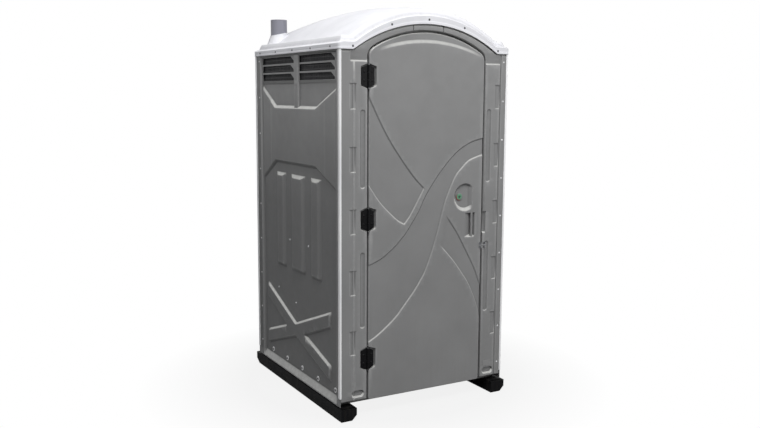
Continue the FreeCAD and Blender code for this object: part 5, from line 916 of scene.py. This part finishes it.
# An outline, its depth, its slope's width and how much wider that is along its lower edges
SLOTS = []
for side, edge in ((-1, OPEN_LEFT), (1, OPEN_RIGHT)):
    at = edge + side * SHORT_COLUMN
    for mid in SHORT_SLOTS_Z:
        DIPS.append(((at - 22, at + 22, mid - 72, mid + 70), (12.0, 12.0, 6.0, 5.0), 3.2))
    at = edge + side * LONG_COLUMN
    for mid in LONG_SLOTS_Z:
        SLOTS.append((rounded(at - 18, at + 18, mid - 218, mid + 216, 17.9), 4.2, 7.0, 0.0))
    at = edge + side * FOOT_COLUMN
    SLOTS.append((rounded(at - 40, at + 40, 117, 158, 20.4), 11.0, 5.0, 2.0))
    if side < 0:
        SLOTS += [(pocket_outline(-1, z), 5.0, 2.5, 0.0) for z in HINGES_Z]
SLOTS.append((rectangle(FRAME_SIDE - 48, FRAME_SIDE - 36, FRAME_FOOT - 40, EAVE + 10), 4.0, 3.5, 0.0))
whole_frame = frame_outline(-OUTSIDE, OUTSIDE)


def frame_front(u, v):
    sunk = [relief(outline, u, v, depth, width, lean, 1.5) for outline, depth, width, lean in SLOTS]
    sunk += [depth * dip(box, slopes_in, u, v) for box, slopes_in, depth in DIPS]
    sunk.append(4.0 * ramp(v - roof_line(u, REBATE), *REBATE_SLOPE))
    left_end = ramp(u - OPEN_LEFT + LEDGE_END, 8.0, 2.0)
    right_end = ramp(OPEN_RIGHT + LEDGE_END - u, 8.0, 2.0)
    ledge = 6.0 * ramp(v - LEDGE_Z, 9.0, 2.0) * (1 - ramp(v - LEDGE_Z - 14, 55.0, 8.0))
    sunk.append(ledge * np.minimum(left_end, right_end))
    ridge = 2.6 * ramp(8.0 - np.abs(u - RIDGE_X), 5.0, 1.8) * ramp(LEDGE_Z - v, 6.0, 2.0)
    hollow = np.maximum(np.maximum.reduce(sunk), 0.0)
    return ridge - hollow - edge_round(depth_in(whole_frame, u, v), FRAME_ROUND)


def frame_painted_highlight(u, v):
    """The ridge down the left jamb and the outer edges of its short slots are paled as painted highlight."""
    paled = 0.9 * np.clip(1 - np.abs(u - RIDGE_X) / 7.0, 0, 1) * ramp(LEDGE_Z - v, 6.0, 2.0)
    beside = np.clip(1 - np.abs(u - OPEN_LEFT + LEDGE_END) / 4.0, 0, 1)
    for mid in SHORT_SLOTS_Z:
        paled = np.maximum(paled, beside * ramp(70 - np.abs(v - mid), 8.0, 2.0))
    return paled


def frame_back(u, v):
    """The frame is deeper round its edges and behind the latch's keeper."""
    rim = depth_in(whole_frame, u, v)
    pad = depth_in(KEEPER_PAD, u, v)
    deep = np.maximum(1 - ramp(rim - 8, 1.0, 0.5), ramp(pad, 1.0, 0.5))
    return -FRAME_BODY - (FRAME_DEPTH - FRAME_BODY) * deep


frame_lines = rings(whole_frame, round_steps(FRAME_ROUND) + [7.5, 8.5, 9.5])
for shape, _, width, lean in SLOTS:
    frame_lines += rings(shape, (-1.5, -0.5, 0.5, 1.5, 0.5 * width, width - lean, width, width + lean + 1.5))
for box, slopes_in, _ in DIPS:
    frame_lines += dip_lines(box, slopes_in)
for out in (OPEN_LEFT - LEDGE_END, OPEN_RIGHT + LEDGE_END):
    frame_lines += uprights(out, (-10, -8, -2, 2, 8, 10), LEDGE_Z - 6, LEDGE_Z + 90)
for step in (0, 0.8, 2, 3.8, 5, 7.5, 9):
    frame_lines.append(rectangle(RIDGE_X - 9 + step, RIDGE_X + 9 - step, FRAME_FOOT - 30, LEDGE_Z + 4))
for low_x, high_x in ((-FRAME_SIDE, OPEN_LEFT), (OPEN_RIGHT, FRAME_SIDE)):
    frame_lines += levels(LEDGE_Z, (-2, -0.7, 0.7, 2, 7, 8.4, 9.8, 11, 14, 24, 44, 66, 77), low_x, high_x)
across = np.linspace(-FRAME_SIDE, FRAME_SIDE, 90)
frame_lines += [doubled(across, roof_line(across, REBATE) + step) for step in ramp_steps(*REBATE_SLOPE)]

for name, start, end in (("front_frame_left", -OUTSIDE, JOINT_LEFT),
                         ("header_joint", JOINT_LEFT, JOINT_RIGHT),
                         ("front_frame_right", JOINT_RIGHT, OUTSIDE)):
    shape = [(min(max(x, start + JOINT_GAP), end - JOINT_GAP), z) for x, z in frame_outline(start, end)]
    low_x = min(p[0] for p in shape)
    high_x = max(p[0] for p in shape)
    near = [line for line in frame_lines
            if min(p[0] for p in line) < high_x and max(p[0] for p in line) > low_x]
    piece = panel(name + "_moulding", "front", shape, frame_front, frame_back, (), near,
                  grid(low_x + 1, high_x - 1, FRAME_FOOT, FRAME_TOP, 30), painted_light=frame_painted_highlight)
    stand_in(piece, "cabin", FINISHES["shell"], "grey_shell", name)

STOP_FRONT, STOP_BACK, STOP_OVERLAP = -31.0, -41.0, 8
stop_outline = opening(GAP + 0.5) + opening(-STOP_OVERLAP)[::-1]
stop = panel("door_stop", "front", stop_outline, level_at(STOP_FRONT), level_at(STOP_BACK))
stand_in(stop, "cabin", FINISHES["shell"], "grey_shell")


# Roof: a rim along the eave, a band over it and a set-back tier with a low crown

RIM_TOP, SHOULDER, BAND_APEX = EAVE + 32, 9, EAVE + 198
TIER_HALF, TIER_SIDE, TIER_APEX, TIER_CROWN = 480, EAVE + 73, EAVE + 234, 42
TIER_INSET, TIER_BACK_INSET, TIER_SLOPE = 21, 41, (12.0, 4.0)
ROOF_ROUND = 5.0
LIP = 5.2
PIPE_HOLE = 53.5
RIM_PROFILE = ((0, 0), (0.1, 0.2), (0.6, 1.1), (0.72, 0.2), (0.78, 0), (1, 0))

roof_edge = divided(rounded(-ROOF_X, ROOF_X, -ROOF_Y, ROOF_Y, 16), 14)


def roof_top(u, v):
    shoulder = RIM_TOP + SHOULDER * ramp(ROOF_X - np.abs(u), 24.0, 4.0)
    band = blend_max(arch(u, ARCH_HALF, RIM_TOP, BAND_APEX), shoulder, 3.0)
    apex = TIER_APEX + TIER_CROWN * (1 - np.clip((v + 10) / 580, -1, 1) ** 2)
    tier = blend_max(arch(u, TIER_HALF, TIER_SIDE, apex), TIER_SIDE, 4.0)
    inset = np.minimum.reduce([ROOF_X - TIER_INSET - np.abs(u), ROOF_Y - TIER_INSET + v,
                               ROOF_Y - TIER_BACK_INSET - v])
    height = band + (tier - band) * ramp(inset, *TIER_SLOPE)
    return height - edge_round(depth_in(roof_edge, u, v), ROOF_ROUND)


def roof_under(u, v):
    return np.where(depth_in(roof_edge, u, v) < LIP, roof_line(u), roof_top(u, v) - SHEET)


roof_lines = rings(roof_edge, round_steps(ROOF_ROUND) + [5.1, 5.4])
for step in ramp_steps(*TIER_SLOPE):
    half_x = ROOF_X - TIER_INSET - step
    tier_foot = rectangle(-half_x, half_x, TIER_INSET + step - ROOF_Y, ROOF_Y - TIER_BACK_INSET - step)
    roof_lines.append(divided(tier_foot, 14))
roof = panel("roof_shell", "level", roof_edge, roof_top, roof_under, [circle(PIPE_X, PIPE_Y, PIPE_HOLE, 64)],
             roof_lines, grid(-ROOF_X + 1, ROOF_X - 1, -ROOF_Y + 1, ROOF_Y - 1, 14), side=RIM_PROFILE)
stand_in(roof, "cabin", FINISHES["white"], "white_shell", "roof")


# Fly mesh on the inside of each vent screen

MESH_FRONT = -RELIEF - SHEET - 2.2
MESH_THICKNESS = 0.8


def mesh_cloth(name, code):
    """Dark woven mesh, too fine to see through."""
    g = material(name)
    threads = {"Scale": 60.0, "Vector": g.coords}
    wave = [g.add("TexWave", threads, bands_direction=axis)["Fac"] for axis in "XYZ"]
    weave = g.times(g.math("MAXIMUM", wave[0], wave[1]), wave[2])
    return g.shade(g.mix(g.fit(weave, 0.1, 0.9), linear(code, 0.5), linear(code, 1.6)),
                   g.fit(g.noise(30.0), 0.3, 0.7, 0.6, 0.8), (weave, 0.001, 0.8))


dark_mesh = mesh_cloth("fly_mesh", "242426")
for side in ("left", "right", "back"):
    low, high = span("vent_screen_" + side)
    axis = 0 if side == "back" else 1
    cloth = panel("fly_mesh_" + side, side, rectangle(low[axis], high[axis], low[2], high[2]),
                  level_at(MESH_FRONT), level_at(MESH_FRONT - MESH_THICKNESS))
    stand_in(cloth, "cabin", dark_mesh, "screen_dark")


# The vacant and engaged dial

DIAL_FRONT, DIAL_BACK, DIAL_RADIUS = -8.7, -13.0, 22.6


def dial_finish(name):
    """Green round a dark centre, with a grey rim and a red mark low on its left. Sizes are in metres."""
    g = material(name)
    shift = g.vector_math("SUBTRACT", g.coords, (LATCH_X * MM, 0, LATCH_Z * MM))["Vector"]
    flat = g.vector_math("MULTIPLY", shift, (1, 0, 1))["Vector"]
    radius = g.vector_math("LENGTH", flat)["Value"]
    across = g.parts(shift)
    low_left = g.fit(g.math("ADD", across["X"], across["Z"]), -0.010, -0.013)
    rim = g.mix(low_left, linear("7d7d7d"), linear("8c5a55"))
    faded = g.fit(g.noise(90.0, 4.0), 0.35, 0.7)
    green = g.mix(faded, linear("38835a"), linear("759f86"))
    centre = g.mix(g.fit(radius, 0.0065, 0.0085), linear("1f4a33"), green)
    return g.shade(g.mix(g.fit(radius, 0.0172, 0.0185), centre, rim),
                   g.fit(g.noise(40.0), 0.3, 0.7, 0.34, 0.5), (g.noise(500.0, 2.0), 0.0002, 0.4))


def dial_face(u, v):
    """A raised button in the middle, and a step down at the rim."""
    far = np.hypot(u - LATCH_X, v - LATCH_Z)
    return DIAL_FRONT - 0.8 * ramp(far - 20.0, 2.0, 0.6) + 1.0 * ramp(8.5 - far, 1.5, 0.6)


dial_lines = [circle(LATCH_X, LATCH_Z, radius, 40) for radius in (6.4, 7.2, 8.0, 9.1, 19.4, 20.6, 21.6)]
dial = panel("latch_dial", "front", circle(LATCH_X, LATCH_Z, DIAL_RADIUS), dial_face,
             level_at(DIAL_BACK), (), dial_lines)
stand_in(dial, "latch", dial_finish("indicator"), "indicator", "indicator_disc")


# CAD pieces that keep their shape: softened edges and a finish

WELD_REACH = 0.00002
FLAT_ANGLE, EDGE_ANGLE = math.radians(1.0), math.radians(40)


def modify(obj, kind, **settings):
    modifier = obj.modifiers.new(kind, kind)
    for key, value in settings.items():
        setattr(modifier, key, value)


def finish(names, look, width=0.0, segments=2):
    """Gives nodes a finish and, where a width in millimetres is given, bevelled edges."""
    for name in names.split():
        obj = nodes[name]
        obj.data.materials.clear()
        obj.data.materials.append(FINISHES[look])
        if width:
            modify(obj, "WELD", merge_threshold=WELD_REACH)
            modify(obj, "DECIMATE", decimate_type="DISSOLVE", angle_limit=FLAT_ANGLE)
            modify(obj, "BEVEL", width=width * MM, segments=segments, limit_method="ANGLE",
                   angle_limit=EDGE_ANGLE)
            modify(obj, "WEIGHTED_NORMAL", weight=60)


for side in ("left", "right"):
    finish("corner_post_front_%s corner_post_back_%s" % (side, side), "post", 0.8)
for i in (1, 2, 3):
    finish("hinge_pin_%d" % i, "steel")
    finish("hinge_frame_leaf_%d hinge_door_leaf_%d" % (i, i), "hinge", 1.2, 3)
finish("skid_left skid_right", "skid", 4.0, 3)
finish("base_deck", "deck", 2.0)
finish("pull_handle", "shell", 2.0, 3)
finish("skid_bolts coat_hook latch_bolt padlock_tab_door padlock_tab_frame seat_hinge_pin", "steel")
finish("hinge_screws_frame hinge_screws_door", "hinge")
finish("frame_rivets wall_rivets wall_fasteners", "rivet")
finish("roof_screws wall_bolts", "screw")
finish("wall_washers", "washer")
finish("vent_pipe", "pipe", 0.8)
finish("vent_collar", "white", 1.5)
finish("vent_screen_left vent_screen_right vent_screen_back", "screen")
finish("waste_tank tank_cover", "tank", 3.0, 3)
finish("seat seat_lid", "seat", 2.5, 3)
finish("urinal", "tank", 2.0)
finish("urinal_drain", "drain")
finish("paper_bracket paper_spindle", "holder", 1.0)
finish("paper_roll_front paper_roll_rear", "paper", 2.0)
finish("door_inner_skin", "inner", 1.0)
finish("latch_housing latch_knob latch_keeper", "latch", 1.2)
finish("blank_plate", "plate", 0.4)


# Floor, light and camera, in metres

FLOOR_REACH = 80.0
FLOOR_GREY = (0.32, 0.32, 0.32, 1)
FLOOR_FADE = (0.8, 1.5, 0.86, 1.0)
SKY_COLOUR = (0.95, 0.97, 1.0, 1)
SKY_CLIMB = (-0.1, 0.9, 0.06, 0.28)
WHITE = (1, 1, 1, 1)


def seen_by(g, rays, lit, backdrop, output):
    """Shows the backdrop to some rays, by the share given, and the lit shader to all others."""
    mix = g.add("MixShader", {0: rays, 1: lit, 2: backdrop})
    g.put(g.tree.nodes[output], {"Surface": mix[0]})


def make_floor():
    """A grey floor that fades to the white backdrop around the cabin."""
    mesh = bpy.data.meshes.new("floor")
    corners = [(x, y, 0) for x, y in rectangle(-FLOOR_REACH, FLOOR_REACH, -FLOOR_REACH, FLOOR_REACH)]
    mesh.from_pydata(corners, [], [(0, 1, 2, 3)])
    floor = placed("floor", mesh)
    g = material("floor")
    g.put(g.shader, {"Base Color": FLOOR_GREY, "Roughness": 0.9, "Specular IOR Level": 0.1})
    backdrop = g.add("Emission", {"Color": WHITE})
    fade = g.fit(g.vector_math("LENGTH", g.coords)["Value"], *FLOOR_FADE)
    share = g.times(g.add("LightPath")["Is Camera Ray"], fade)
    seen_by(g, share, g.shader.outputs[0], backdrop[0], "Material Output")
    mesh.materials.append(g.owner)


def make_world():
    """A soft studio sky, brighter overhead, which the camera and reflections see as plain white."""
    world = bpy.data.worlds.new("studio")
    bpy.context.scene.world = world
    g = Graph(world)
    lit = g.tree.nodes["Background"]
    strength = g.fit(g.parts(g.places["Generated"])["Z"], *SKY_CLIMB)
    g.put(lit, {"Color": SKY_COLOUR, "Strength": strength})
    backdrop = g.add("Background", {"Color": WHITE})
    rays = g.add("LightPath")
    share = g.math("MAXIMUM", rays["Is Camera Ray"], rays["Is Glossy Ray"])
    seen_by(g, share, lit.outputs[0], backdrop[0], "World Output")


def area_light(name, place, target, size, power):
    lamp = bpy.data.lights.new(name, "AREA")
    lamp.shape = "RECTANGLE"
    lamp.size, lamp.size_y = size
    lamp.energy = power
    obj = placed(name, lamp)
    obj.location = place
    obj.rotation_euler = (Vector(target) - Vector(place)).to_track_quat("-Z", "Y").to_euler()


make_floor()
make_world()
area_light("key", (-1.2, -4.1, 6.7), (0.0, -0.3, 1.1), (3.0, 2.4), 332)
area_light("fill", (4.4, -5.8, 2.2), (0.2, -0.4, 0.9), (2.5, 2.5), 88)
area_light("side", (-3.0, -0.6, 3.9), (-0.5, 0.0, 1.6), (1.4, 1.4), 24)

# Solved from the photograph: yaw, pitch and roll in degrees, lens and sensor in millimetres
CAMERA_PLACE = (-2.6308, -4.7258, 1.8125)
CAMERA_TURN = (29.4481, 7.8918, 0.3053)
CAMERA_LENS = 40.565
CAMERA_SENSOR = 36.0

yaw, pitch, roll = (math.radians(angle) for angle in CAMERA_TURN)
forward = Vector((math.sin(yaw) * math.cos(pitch), math.cos(yaw) * math.cos(pitch), -math.sin(pitch)))
right = Vector((math.cos(yaw), -math.sin(yaw), 0))
up = right.cross(forward)
rolled_right = right * math.cos(roll) + up * math.sin(roll)
rolled_up = up * math.cos(roll) - right * math.sin(roll)
data = bpy.data.cameras.new("camera")
data.sensor_fit = "HORIZONTAL"
data.sensor_width = CAMERA_SENSOR
data.lens = CAMERA_LENS
camera = placed("camera", data)
axes = Matrix((rolled_right, rolled_up, -forward)).transposed().to_4x4()
camera.matrix_world = Matrix.Translation(CAMERA_PLACE) @ axes
bpy.context.scene.camera = camera
bpy.context.scene.view_settings.view_transform = "Standard"
